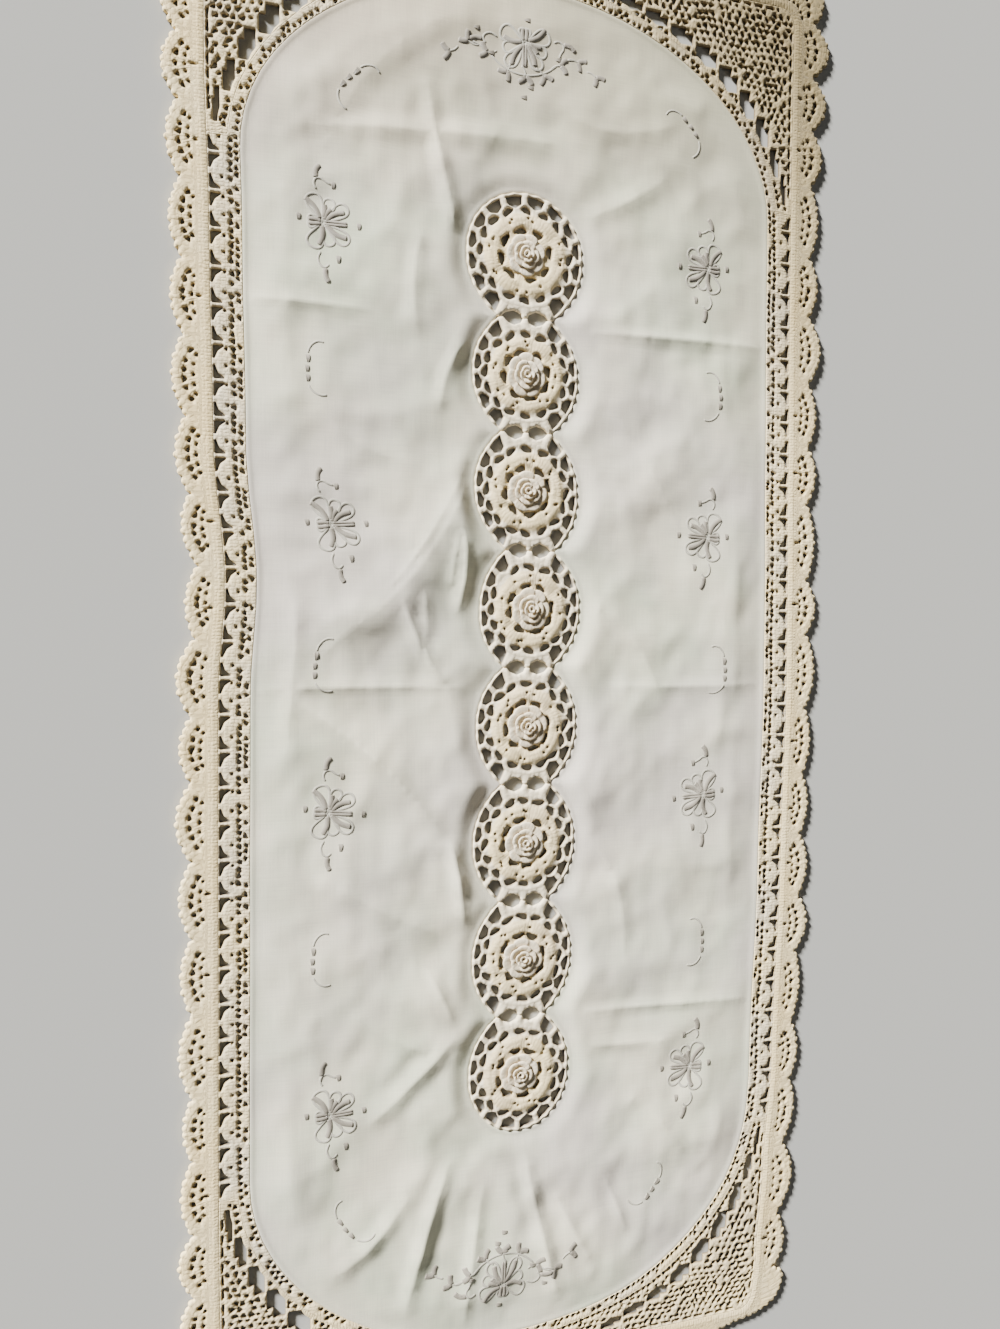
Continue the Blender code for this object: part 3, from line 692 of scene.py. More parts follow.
def crochet_cotton(name, colour, post, row, tint, rim=None, depth=1.0):
    """Mercerised crochet cotton worked in trebles: rows of round posts, with painted shade between the
    threads.
    """
    material, tree = blank(name, roughness=0.78, sheen=0.1)
    work = add(tree, "UVMap", uv_map="work")
    place = add(tree, "TexCoord", out="Object")
    # Hand tension lets the rows wander by about half a millimetre.
    drift = add(tree, "TexNoise", work, named={"Scale": 0.35, "Detail": 2.0}, out="Color")
    drift = add(tree, "VectorMath", drift, (0.5, 0.5, 0.5), operation="SUBTRACT")
    drift = add(tree, "VectorMath", drift, named={"Scale": 2.2}, operation="SCALE")
    wandered = add(tree, "VectorMath", work, drift, operation="ADD")
    u, v, _ = add(tree, "SeparateXYZ", wandered).node.outputs
    posts = add(tree, "POWER", add(tree, "ABSOLUTE", wave(tree, u, 2.0 * post)), 0.55)
    rows = add(tree, "POWER", add(tree, "ABSOLUTE", wave(tree, v, 2.0 * row)), 0.4)
    body = add(tree, "MULTIPLY", add(tree, "MULTIPLY", posts, rows), 0.55)
    # Knots where a treble is looped into the row below: bright lumps 2.1 mm apart; the dark between them
    # is painted shade.
    lump = add(tree, "TexVoronoi", wandered, named={"Scale": 0.48, "Randomness": 0.75})
    lump = add(tree, "MapRange", lump, 0.15, 0.75, 1.0, 0.0)
    body = add(tree, "ADD", body, add(tree, "MULTIPLY", lump, 0.45))
    # The yarn's own twist, 0.6 mm from strand to strand.
    twist = wave(tree, add(tree, "ADD", add(tree, "MULTIPLY", u, 0.8), v), 0.6)
    height = add(tree, "ADD", body, add(tree, "MULTIPLY", twist, 0.05))
    fuzz = add(tree, "TexNoise", place, named={"Scale": 1500.0, "Detail": 2.0})
    height = add(tree, "ADD", height, add(tree, "MULTIPLY", fuzz, 0.25))
    # Colour: dye blotches some centimetres across, paler cords outside the rim radius.
    blotch = patches(tree, place, scale=24.0, detail=4.0, low=0.38, high=0.62)
    base = coat(tree, blotch, colour, tint)
    if rim:
        radius, pale = rim
        base = coat(tree, add(tree, "MapRange", v, radius - 0.6, radius + 0.6), base, pale)
    # Toward the +X +Y corner the cotton is darker and browner.
    darker_corner = toward_corner(tree, place, start=0.30, end=0.52, most=0.92)
    base = coat(tree, darker_corner, base, linear("7C6E4A"))
    # Shade between the threads, and deeper shade in the hollows of the work.
    cavity = add(tree, "MapRange", body, 0.15, 0.65, 0.34 * depth, 0.0)
    hollow = add(tree, "MULTIPLY", add(tree, "Attribute", attribute_name="hollow", out="Fac"), 0.95)
    for share, dark in ((cavity, (0.50, 0.43, 0.33)), (hollow, (0.09, 0.07, 0.05))):
        base = coat(tree, share, base, [c * d for c, d in zip(colour, dark)])
    return surfaced(material, base, height, strength=0.7, depth=0.42 * depth)


def bleached_linen(settings):
    """Bleached plain-weave linen: slubby threads 0.5 mm apart, softly mottled and pressed."""
    material, tree = blank("bleached_linen", roughness=0.85, sheen=0.2)
    place = add(tree, "TexCoord", out="Object")
    x, y, _ = add(tree, "SeparateXYZ", place).node.outputs
    weave = add(tree, "MULTIPLY", wave(tree, x, 0.5 * MM), wave(tree, y, 0.5 * MM))
    # Slubs: thick places in a thread, under a millimetre wide and a few centimetres long.
    slubs = []
    for scale in ((1400.0, 45.0, 1.0), (45.0, 1400.0, 1.0)):
        stretched = add(tree, "Mapping", place, named={"Scale": scale})
        slubs.append(add(tree, "TexNoise", stretched, named={"Scale": 1.0, "Detail": 2.0}))
    slub = add(tree, "ADD", *slubs)
    height = add(tree, "ADD", add(tree, "MULTIPLY", weave, 0.35), add(tree, "MULTIPLY", slub, 0.9))
    # Faint clouds of tone left by washing: a green-white and a lilac-white; toward the +Y end the cloth
    # turns a darker warm white.
    cloud = patches(tree, place, scale=15.0, detail=4.0, low=0.38, high=0.62)
    base = coat(tree, cloud, settings.colour, linear("D9DEC2"))
    wide = patches(tree, place, scale=7.0, detail=3.0, low=0.42, high=0.60)
    base = coat(tree, add(tree, "MULTIPLY", wide, 0.8), base, linear("DCD2C8"))
    base = coat(tree, add(tree, "MapRange", y, 0.25, 0.38, 0.0, 0.95), base, linear("CBBEA5"))
    # Toward the +X +Y corner the cloth is darker, duller and greenish.
    dull = toward_corner(tree, place, start=0.24, end=0.44, most=0.65)
    base = coat(tree, dull, base, linear("B4B496"))
    thread = add(tree, "MapRange", slub, 0.8, 1.2, 0.93, 1.03)
    base = coat(tree, 1.0, base, add(tree, "CombineColor", thread, thread, thread), "MULTIPLY")
    # A line of shade along the inner edge of the hem.
    hollow = add(tree, "MULTIPLY", add(tree, "Attribute", attribute_name="hollow", out="Fac"), 0.12)
    base = coat(tree, hollow, base, linear("8C8879"))
    return surfaced(material, base, height, strength=0.35, depth=0.12)


def stranded_floss(settings):
    """Stranded cotton floss in satin stitch: a silky sheen in fine lines across each sewn line."""
    material, tree = blank("stranded_floss", roughness=0.55)
    stitches = wave(tree, add(tree, "SeparateXYZ", add(tree, "UVMap", uv_map="work")), 0.45)
    # Fine outlines are in a paler floss than the padded leaves.
    padded = add(tree, "Attribute", attribute_name="hollow", out="Fac")
    base = coat(tree, padded, linear("B9B5A6"), settings.colour)
    # Painted highlight: the crest of each stitch is lightened toward a paler colour.
    base = coat(tree, add(tree, "MapRange", stitches, -1.0, 1.0, 0.0, 0.15), base, linear("DEDBCF"))
    return surfaced(material, base, stitches, strength=0.5, depth=0.1)


def painted_board(settings):
    """Matte painted board: plain, with the faintest grain."""
    material, tree = blank("painted_board", roughness=0.9)
    place = add(tree, "TexCoord", out="Object")
    grain = add(tree, "TexNoise", place, named={"Scale": 900.0, "Detail": 2.0})
    return surfaced(material, (*settings.floor, 1.0), grain, strength=0.05, depth=0.1)


# ---------------------------------------------------------------- linen

def hills(points, wide, long, level):
    """Smooth noise over points, with humps about wide by long."""
    return np.array([noise.noise((x / wide, y / long, level)) for x, y in points])


def facets(points, wide, long, level, sway):
    """Flat facets about wide by long that meet in crisp lines, swayed sideways."""
    return np.array([noise.voronoi((x / wide + s, y / long, level))[0][0]
                     for (x, y), s in zip(points, sway)])


def linen_height(points, settings):
    """Height of the linen's upper face over drafted points, in millimetres."""
    height = np.zeros(len(points))
    for fold in FOLDS + CREASES:
        stations = on_curve(fold, np.linspace(0.0, 1.0, FOLD_SAMPLES + 1))
        low, high = stations.min(axis=0) - fold[6], stations.max(axis=0) + fold[6]
        near = np.flatnonzero(((points > low) & (points < high)).all(axis=1))
        gaps = np.linalg.norm(points[near, None, :] - stations[None, :, :], axis=2)
        nearest = gaps.argmin(axis=1)
        away = unit(gaps.min(axis=1) / fold[6])
        taper = np.sin(math.pi * nearest / FOLD_SAMPLES) ** FOLD_TAPER
        profile = 0.45 * np.cos(0.5 * math.pi * away) ** 2 + 0.55 * (1.0 - away) ** 1.3
        height[near] = np.maximum(height[near], settings.fold_share * fold[7] * taper * profile)
    ripples = hills(points, 55.0, 42.0, 3.0) + 0.55 * hills(points, 24.0, 30.0, 9.0)
    ripples += 0.30 * hills(points, 10.0, 13.0, 5.0)
    # Crumpling leaves facets some 40 mm across, and finer ones where the cloth is most worn.
    large = facets(points, 46.0, 38.0, 2.0, 0.3 * hills(points, 30.0, 30.0, 1.0))
    small = facets(points, 19.0, 24.0, 7.0, 0.4 * hills(points, 15.0, 15.0, 4.0))
    worn = unit(0.5 + hills(points, 70.0, 90.0, 6.0))
    cloth = settings.ripple * np.clip(ripples + 0.35, 0.0, None) + settings.crumple * large
    cloth += 0.45 * settings.crumple * worn * small
    # The cloth is held flat where it meets the edging.
    return height + settings.rest + cloth * unit(-oval_gauge(points) / 22.0)


def crease_rows():
    """Rows of drafted points along and beside every crease, so that its line stays crisp."""
    rows = []
    for fold in FOLDS + CREASES:
        length = math.hypot(fold[4] - fold[0], fold[5] - fold[1])
        line = on_curve(fold, np.linspace(0.04, 0.96, int(length / 1.6)))
        side = 1.3 * left_of(np.gradient(line, axis=0))
        rows += [line, line + side, line - side]
    rows = np.concatenate(rows)
    return rows[np.unique(np.round(rows), axis=0, return_index=True)[1]]


def linen_panel(settings):
    """The linen oval on its folds, with hems turned along both edges."""
    rim, opening = outlines("linen_panel")[:2]
    step, hem_width = settings.mesh_step, settings.hem
    # The medallions' outermost chains are sewn onto the turned hem.
    loops = [grown(resampled(rim, step), 0.4),
             grown(smooth_rim(opening, step=2.0, rounds=1), settings.lap)]
    tree, inner_tree = tree_of(loops), tree_of(loops[1:])
    rings = np.concatenate([loop + normals(loop) * hem_width * share
                            for loop in loops for share in (0.35, 0.9, 1.1, 1.6)])
    rings = rings[distances(tree, rings) > 0.3 * hem_width]
    creases = laid(crease_rows())
    low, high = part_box("linen_panel")
    grid = staggered(*(np.arange(a / MM, b / MM, step) for a, b in ((low.x, high.x), (low.y, high.y))),
                     step, step)
    grid = grid[oval_gauge(drafted(grid)) < 0.0]
    grid = np.concatenate((creases, grid[distances(tree_of([creases], None), grid) > 1.7]))
    grid = grid[distances(tree, grid) > 1.9 * hem_width]

    def height(points):
        depth, inward = distances(tree, points), distances(inner_tree, points)
        # At the outer rim the hem is as thick as the edging worked onto it.
        outer = inward > 4.0 * hem_width
        hem = settings.hem_rise / (1.0 + np.exp((depth - hem_width) / 0.6))
        hem = np.where(outer, 1.8 * hem, hem)
        # Round the medallions the cloth is drawn down to the crochet.
        slack = unit(inward / 13.0)
        slack = slack * slack * (3.0 - 2.0 * slack)
        cloth = linen_height(drafted(points), settings)
        edge = rounded_edge(depth, 1.2, np.where(outer, 0.95, 0.75))
        return (settings.drawn + (cloth - settings.drawn) * slack + hem) * edge

    def base(points):
        return np.maximum(height(points) - settings.thickness, UNDERSIDE)

    def tone(points):
        # Painted shade: a darker line along the inner edge of each hem.
        return ridge(distances(tree, points), hem_width, 0.6)

    piece = worked("linen", loops, np.concatenate((rings, grid)), height, lambda points: points, tone,
                   base, no_relief, thin=True)
    return dress(piece, bleached_linen(settings), LINEN, "linen_panel")


# ---------------------------------------------------------------- crochet

def no_relief(points):
    """No raised work."""
    return np.zeros(len(points))


def smooth_rim(loop, step=1.6, rounds=2):
    """A CAD outline drawn as the round work it stands for."""
    return softened(resampled(loop, step), rounds)


def edging(settings, vary):
    """The edging round the oval: two close rows of holes and a sparse third one."""
    loops = [smooth_rim(loop) for loop in outlines("oval_edging")]
    holes = []
    # Columns: which places it takes, distance out at the sides and at the ends, spacing, size, length.
    for phase, side, end, step, size, long in (
        (0, 2.1, 2.0, EDGING_STEP, 1.05, 1.6),
        (1, 5.7, 4.7, EDGING_STEP, 1.2, 1.3),
        (0, 9.6, 11.0, 9.9, 0.7, 1.2),
    ):
        for x, y, nx, ny in oval_walk(2 * int(OVAL_ROUND / step))[phase::2]:
            blend = unit((abs(y) - END_FROM) / END_BLEND)
            out = side + (end - side) * blend + vary(-0.4, 0.4) * (1.0 - 0.7 * blend)
            along = vary(-0.8, 0.8) * (1.0 - 0.6 * blend)
            turn = math.atan2(ny, nx) + vary(0.2, 1.0)
            narrow = size * vary(0.75, 1.05)
            tall = narrow * (1.0 + (long - 1.0) * (1.0 - 0.6 * blend) * vary(0.7, 1.1))
            x, y = x + nx * out - ny * along, y + ny * out + nx * along
            holes.append(hole(x, y, narrow, tall, turn, vary))
    joined = {i for i, loop in enumerate(loops) if abs(area(loop)) > 3000.0}
    loops = [loop if i in joined else grown(loop, -0.2) for i, loop in enumerate(loops)]
    holes = placed([laid(points) for points in holes], loops, bridge=0.55)
    # The ground's points lie in rounds; the oval is about 2000 mm round.
    walk = oval_walk(int(2000.0 / settings.mesh_step))
    ground = laid(np.concatenate([walk[:, :2] + walk[:, 2:] * out
                                  for out in np.arange(0.9, 17.0, settings.mesh_step * 0.85)]))

    def grain(points):
        flat = drafted(points)
        return np.stack((band_place(flat)[0], oval_gauge(flat)), 1)

    def relief(points):
        return 0.35 * ridge(oval_gauge(drafted(points)), 1.2, 0.7)

    material = crochet_cotton("edging_cotton", settings.colour, settings.post, settings.row * 0.8,
                              linear("EFE1C2"))
    return lace_piece("edging", loops, joined, holes, ground[oval_gauge(drafted(ground)) < 18.0], relief,
                      grain, settings, material, LACE, "oval_edging")


def oval_walk(count):
    """Evenly stepped places round the oval with their outward normals."""
    turns = [2.0 * math.pi * i / (4 * count) for i in range(4 * count)]
    fine = np.array([(OVAL_HALF_WIDTH * math.cos(t), OVAL_END * math.sin(t)) for t in turns])
    upper = fine[fine[:, 1] >= 0.0] + (0.0, OVAL_STRAIGHT)
    lower = fine[fine[:, 1] < 0.0] - (0.0, OVAL_STRAIGHT)
    loop = resampled(np.concatenate((upper, lower)), 2.0)
    closed = np.concatenate((loop, loop[:1]))
    lengths = np.linalg.norm(np.roll(loop, -1, axis=0) - loop, axis=1)
    reached = np.concatenate(((0.0,), np.cumsum(lengths)[:-1], (lengths.sum(),)))
    wanted = np.arange(count) * lengths.sum() / count
    walk = np.stack([np.interp(wanted, reached, closed[:, axis]) for axis in (0, 1)], 1)
    return np.concatenate((walk, -normals(walk)), axis=1)


def corner_net(index, settings, vary):
    """One corner net: small holes in rounds between the edging and the slits at the band."""
    node = NETS[index]
    loops = [smooth_rim(loop) for loop in outlines(node)]
    middle = loops[0].mean(axis=0)
    sign_x, sign_y = math.copysign(1.0, middle[0]), math.copysign(1.0, middle[1])
    # Slits along the band: 7.9 mm apart, 5.2 long and 1.3 wide.
    holes = [hole(BAND_X - 1.9, y, 0.65, 2.6, vary(-0.05, 0.05), vary)
             for y in np.arange(302.0, 406.0, 7.9)]
    holes += [hole(x, BAND_Y - 1.9, 2.6, 0.65, vary(-0.05, 0.05), vary)
              for x in np.arange(8.0, 166.0, 7.9)]
    # One more row of the edging's holes runs along the net's inner rim.
    for x, y, nx, ny in oval_walk(int(OVAL_ROUND / EDGING_STEP)):
        if x > 0.0 and y > 0.0:
            out = vary(8.6, 9.2)
            holes.append(hole(x + nx * out, y + ny * out, vary(0.9, 1.2), vary(1.1, 1.5),
                              math.atan2(ny, nx) + vary(-0.3, 0.6), vary))
    # Rows enough to fill the corner; those that fall outside the net are dropped by placed.
    pitch = settings.net_pitch
    for j in range(34):
        for i in range(44):
            x = (i + 0.5 * (j % 2)) * pitch * 1.04
            y = 284.0 + j * pitch * 0.93
            bend = 0.9 * noise.noise((x / 26.0, y / 26.0, 4.0 + index))
            x += 2.6 * bend + vary(-0.55, 0.55)
            y += 2.6 * noise.noise((x / 30.0, y / 30.0, 8.0 + index)) + vary(-0.55, 0.55)
            open_work = any(math.hypot(x - cx, y - cy) < radius + 2.2 for cx, cy, radius in NET_ROUNDS)
            size = vary(1.2, 1.65) if open_work else vary(0.65, 1.2)
            turn = 0.8 + 1.6 * bend + vary(-0.5, 0.5)
            holes.append(hole(x, y, size * 0.8, size * vary(1.0, 1.35), turn, vary))
    turned = []
    for points in holes:
        points = points * (sign_x, sign_y)
        turned.append(laid(points if sign_x == sign_y else points[::-1]))
    holes = placed(turned, loops, bridge=0.52)
    step, climb = settings.mesh_step, settings.mesh_step * 0.87
    grid = staggered(np.arange(0.0, BAND_X, step), np.arange(285.0, BAND_Y, climb), step, climb)
    grid = grid[oval_gauge(grid) > 6.0] * (sign_x, sign_y)

    def grain(points):
        x, y = (drafted(points) - (sign_x * NET_HEART[0], sign_y * NET_HEART[1])).T
        return np.stack((np.arctan2(y, x) * 85.0, np.hypot(x, y)), 1)

    material = crochet_cotton(f"net_cotton_{index + 1}", settings.colour, settings.post, settings.row,
                              linear("E6D4AC"))
    return lace_piece(f"net_{index + 1}", loops, {0}, holes, laid(grid), no_relief, grain, settings,
                      material, LACE, node)


def fans_of(rim):
    """The border's fans, read from the notches of its outline.

    Each is its base's centre, its unit direction along and outward, its width and its rise.
    """
    before = rim - np.roll(rim, 1, axis=0)
    after = np.roll(rim, -1, axis=0) - rim
    turn = np.arctan2(cross(before, after), (before * after).sum(axis=1))
    notches = [i for i in range(len(rim)) if turn[i] < math.radians(NOTCH_TURN)]
    fans = []
    for first, last in zip(notches, notches[1:] + [notches[0] + len(rim)]):
        chord = rim[last % len(rim)] - rim[first]
        width = float(np.linalg.norm(chord))
        if not FAN_WIDTHS[0] < width < FAN_WIDTHS[1]:
            continue
        along = chord / width
        out = np.array((along[1], -along[0]))
        between = [rim[i % len(rim)] for i in range(first, last + 1)]
        rise = max(float(np.dot(p - rim[first], out)) for p in between)
        base = rim[first] + 0.5 * chord - out * (FAN_VALLEY - BAND_WIDTH)
        fans.append((base, along, out, width, rise))
    return fans


def border(settings, vary):
    """The solid ribbed band and the scalloped fans with their arcs of holes."""
    cad = outlines("outer_border")
    fans = fans_of(cad[0])
    rim = smooth_rim(cad[0])
    lengths = np.linalg.norm(np.roll(rim, -1, axis=0) - rim, axis=1)
    reached = np.cumsum(lengths) - lengths
    spaced = reached + 0.8 * np.sin(reached / 17.0)
    knots = 1.45 * np.abs(np.sin(math.pi * spaced / settings.picot)) ** 0.8 - 0.75
    rim = grown(rim, knots[:, None])
    loops = [rim, smooth_rim(cad[1], step=1.8, rounds=1)]
    holes = []
    for base, along, out, width, rise in fans:
        depth = FAN_VALLEY - BAND_WIDTH + rise
        facing = math.atan2(out[1], out[0])
        for count, reach, rises, drop, sizes in (
            (6 if width > WIDE_FAN else 5, 0.30, 0.53, 0.23, (0.85, 1.15)),
            (5, 0.24, 0.21, 0.09, (0.45, 0.72)),
        ):
            for k in range(count):
                t = 2.0 * k / (count - 1) - 1.0 + vary(-0.05, 0.05)
                spot = (base + along * reach * width * t
                        + out * (depth * (rises - drop * t * t) + vary(-0.3, 0.3)))
                size = vary(*sizes)
                holes.append(hole(*spot, size * vary(0.9, 1.15), size * vary(1.1, 1.6),
                                  facing + 0.8 * t + vary(-0.3, 0.3), vary))
        if vary(0.0, 1.0) < 0.6:
            spot = base + along * vary(-4.0, 4.0) + out * vary(-1.5, 0.8)
            holes.append(hole(*spot, 0.45, vary(1.0, 1.8), facing + 1.57, vary))
    holes = placed(holes, loops, bridge=0.6)
    ground = []
    step = settings.mesh_step
    for outside in np.arange(0.6, 27.0, step * 0.87):
        half_x, half_y = BAND_X + outside, BAND_Y + outside
        radius = BAND_CORNER + outside
        ys = np.arange(-half_y + radius, half_y - radius, step)
        xs = np.arange(-half_x + radius, half_x - radius, step)
        ground += [(side * half_x, y) for y in ys for side in (-1.0, 1.0)]
        ground += [(x, side * half_y) for x in xs for side in (-1.0, 1.0)]
        count = int(0.5 * math.pi * radius / step)
        for turn in [0.5 * math.pi * i / count for i in range(count)]:
            px = half_x - radius + radius * math.cos(turn)
            py = half_y - radius + radius * math.sin(turn)
            ground += [(a * px, b * py) for a in (-1.0, 1.0) for b in (-1.0, 1.0)]
    bases = tree_of([np.array([base + out * 3.0 for base, _, out, _, _ in fans])], None)

    def grain(points):
        along, outside = band_place(drafted(points))
        rows = np.stack((along, outside), 1)
        for i, (x, y) in enumerate(points):
            if outside[i] > BAND_WIDTH + 0.5:
                base, chord, out, _, _ = fans[bases.find((x, y, 0.0))[1]]
                away = np.array((x, y)) - base + out * 4.0
                rows[i] = (10.5 * math.atan2(float(away @ chord), float(away @ out)),
                           float(np.linalg.norm(away)))
        return rows

    def relief(points):
        _, outside = band_place(drafted(points))
        return 0.55 * ridge(outside, 3.0, 1.5) + 0.25 * ridge(outside - BAND_WIDTH, 0.4, 0.6)

    material = crochet_cotton("border_cotton", settings.colour, settings.post, settings.row,
                              linear("FFE5AA"))
    return lace_piece("border", loops, {1}, holes, laid(np.array(ground)), relief, grain, settings,
                      material, LACE, "outer_border")


def medallion(index, settings, material, vary):
    """One medallion: a double chain of gaps round eight puffed petals."""
    node = MEDALLIONS[index]
    low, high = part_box(node)
    centre = np.array(((low.x + high.x) / 2.0, (low.y + high.y) / 2.0)) / MM
    scale = np.array((high.x - low.x, high.y - low.y)) / MM / MEDALLION_SIZE

    def at(radius, angle):
        return centre + scale * (radius * math.cos(angle), radius * math.sin(angle))

    def polar(points):
        x, y = ((points - centre) / scale).T
        return np.hypot(x, y), np.arctan2(y, x)

    # The solid has only the outer gaps and a few inner ones; the whole inner round is worked here.
    loops = []
    for loop in outlines(node):
        middle, soft = loop.mean(axis=0), smooth_rim(loop, step=1.4)
        if area(loop) > 0.0:
            loops.append(grown(soft, JOIN))
        elif polar(middle[None])[0][0] > 27.5:
            loops.append(middle + 0.84 * (soft - middle))
    holes = []
    for k in range(16):
        angle = math.radians(22.5 * k) + vary(-0.03, 0.03)
        lean = math.radians(16.0 if k % 2 else -16.0) + vary(-0.2, 0.2)
        holes.append(hole(*at(24.6, angle), vary(1.5, 1.9), vary(3.0, 3.6), angle + lean,
                          vary, corners=12, wedge=0.1))
    for k in range(8):
        angle = math.radians(45.0 * k + PETAL_TURN) + vary(-0.1, 0.1)
        holes.append(hole(*at(13.5, angle), vary(1.5, 1.9), vary(2.9, 3.8),
                          angle + vary(-0.2, 0.2), vary, corners=10, wedge=0.15))
        for _ in range(2):
            angle = math.radians(45.0 * k + 34.5) + vary(-0.22, 0.22)
            holes.append(hole(*at(vary(17.5, 20.5), angle), 0.4, 0.55, angle, vary, corners=6))
    holes = placed(holes, loops, bridge=0.6)
    ground = [at(0.0, 0.0)]
    for radius in np.arange(1.4, 34.0, 1.25):
        count = max(6, int(2.0 * math.pi * radius / 1.4))
        ground += [at(radius, 2.0 * math.pi * (i + 0.5 * (round(radius / 1.25) % 2)) / count)
                   for i in range(count)]

    def relief(points):
        radius, angle = polar(points)
        petal = np.abs(np.cos(4.0 * (angle - math.radians(PETAL_TURN))))
        puff = 1.1 * unit((radius - 12.5) / 3.0) * unit((23.4 - radius) / 3.0)
        chain = 0.35 * ridge(radius, 27.8, 0.9)
        knots = 0.35 * unit((radius - 29.0) / 2.0) * np.cos(32.0 * angle)
        return puff * (0.35 + 0.65 * petal ** 0.8) + chain + knots

    def grain(points):
        radius, angle = polar(points)
        return np.stack((angle * 18.0, radius), 1)

    return lace_piece(f"medallion_lace_{index + 1}", loops, set(), holes, np.array(ground), relief, grain,
                      settings, material, ROSE, node, shade=0.85)


# Petal rows of a rose. Columns: inner radius, outer radius, inner height, lip height, petals.
PETAL_ROWS = (
    (5.8, 12.3, 2.0, 3.1, 7),
    (3.6, 8.2, 2.5, 4.1, 5),
    (1.6, 4.9, 3.0, 5.1, 4),
    (0.2, 2.3, 4.0, 5.7, 2),
)


def rose(index, material, vary):
    """A rose of curling petal rows, each a lobed bowl whose lip rolls outward."""
    low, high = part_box(MEDALLIONS[index])
    centre = ((low.x + high.x) / 2.0, (low.y + high.y) / 2.0)
    squash = (vary(0.95, 1.03), vary(0.98, 1.06))
    bm = bmesh.new()
    uv = bm.loops.layers.uv.new("work")
    hollow = bm.verts.layers.float.new("hollow")
    for inner, outer, foot, lip, petals in PETAL_ROWS:
        phase = vary(0.0, 6.28)
        made = bmesh.ops.create_grid(bm, x_segments=84, y_segments=8, size=1.0)
        verts = made["verts"]
        rows = {}
        for vert in verts:
            turn = (vert.co.x + 1.0) / 2.0
            climb = (vert.co.y + 1.0) / 2.0
            share = (petals * turn) % 1.0
            lobe = math.sin(math.pi * share) ** 0.6
            # Each petal laps over the next one: it starts high and outside and ends tucked under.
            reach = inner + (outer - inner) * climb * (0.76 + 0.24 * lobe)
            rise = foot + (lip - foot) * math.sin(2.0 * climb) ** 1.2
            rise += (0.4 - 0.8 * share) * climb - 0.35 * (1.0 - lobe) * climb
            rows[vert] = (turn, reach)
            # Painted shade: dark at the foot of each petal row and in the dips between its lobes.
            vert[hollow] = 0.8 * max(0.0, 1.0 - climb * 2.6) + 0.5 * max(0.0, 0.3 - lobe)
            angle = 2.0 * math.pi * turn + phase
            vert.co = (centre[0] + squash[0] * reach * MM * math.cos(angle),
                       centre[1] + squash[1] * reach * MM * math.sin(angle), rise * MM)
        for face in {f for v in verts for f in v.link_faces}:
            for corner in face.loops:
                turn, reach = rows[corner.vert]
                corner[uv].uv = (2.0 * math.pi * turn * 0.5 * (inner + outer), reach)
    bmesh.ops.remove_doubles(bm, verts=bm.verts, dist=0.02 * MM)
    bmesh.ops.recalc_face_normals(bm, faces=bm.faces)
    for face in bm.faces:
        face.smooth = True
    piece = finished(bm, f"rose_{index + 1}")
    shell = piece.modifiers.new("Thread thickness", "SOLIDIFY")
    shell.thickness = 0.6 * MM
    shell.offset = -1.0
    return dress(piece, material, ROSE)


# ---------------------------------------------------------------- embroidery

def stroke(bm, uv, hollow, line, width, rise, padded, surface):
    """A sewn line: a low rounded strip along a smooth route, tapered at both ends."""
    line = np.asarray(line, float)
    count = len(line)
    side = left_of(np.gradient(line, axis=0))
    steps = np.concatenate(((0.0,), np.cumsum(np.linalg.norm(np.diff(line, axis=0), axis=1))))
    across = (-1.0, -0.6, 0.0, 0.6, 1.0)
    ends = np.clip(np.minimum(np.arange(count), np.arange(count)[::-1]) / 2.0, 0.25, 1.0)
    rows = []
    for share in across:
        places = line + side * (0.5 * width * share * ends)[:, None]
        lift = surface(places) + rise * ends * math.sqrt(max(0.0, 1.0 - share * share)) - 0.08
        places = laid(places)
        rows.append([bm.verts.new((p[0] * MM, p[1] * MM, z * MM)) for p, z in zip(places, lift)])
        for vert in rows[-1]:
            vert[hollow] = 1.0 if padded else 0.0
    for lower, upper, a, b in zip(rows, rows[1:], across, across[1:]):
        for i in range(count - 1):
            face = bm.faces.new((lower[i], lower[i + 1], upper[i + 1], upper[i]))
            face.smooth = True
            for corner, (at, v) in zip(face.loops, ((i, a), (i + 1, a), (i + 1, b), (i, b))):
                corner[uv].uv = (steps[at], v)


def petal_line(length, width, angle):
    """A closed petal that starts and ends at the flower's heart, its angle in degrees."""
    t = np.linspace(0.0, math.pi, 15)
    out = length * np.sin(t) ** 0.8
    side = width * np.sin(2.0 * t) * 0.5
    return moved(np.stack((out, side), 1), 0.0, 0.0, math.radians(angle))


def ray(angle, start, end, bow):
    """A gently bowed line outward from the heart, its angle in degrees."""
    t = np.linspace(0.0, 1.0, 8)
    line = np.stack((start + (end - start) * t, bow * np.sin(math.pi * t)), 1)
    return moved(line, 0.0, 0.0, math.radians(angle))


def dot(x, y, width=1.9):
    """A padded dot."""
    return ((x - 1.0, y), (x - 0.35, y + 0.15), (x + 0.35, y + 0.15), (x + 1.0, y)), width, True


# Below, a sewn line is its points, its width and whether it is padded.

LEAF_PAIR = (
    (((0.0, 0.0), (1.4, 1.3), (3.2, 2.2), (5.2, 2.5)), 1.6, True),
    (((0.0, 0.0), (1.0, -1.6), (1.6, -3.4), (1.6, -5.4)), 1.6, True),
    (((0.0, 0.0), (-2.0, 0.5), (-4.2, 0.4), (-6.4, -0.6)), 0.7, False),
)


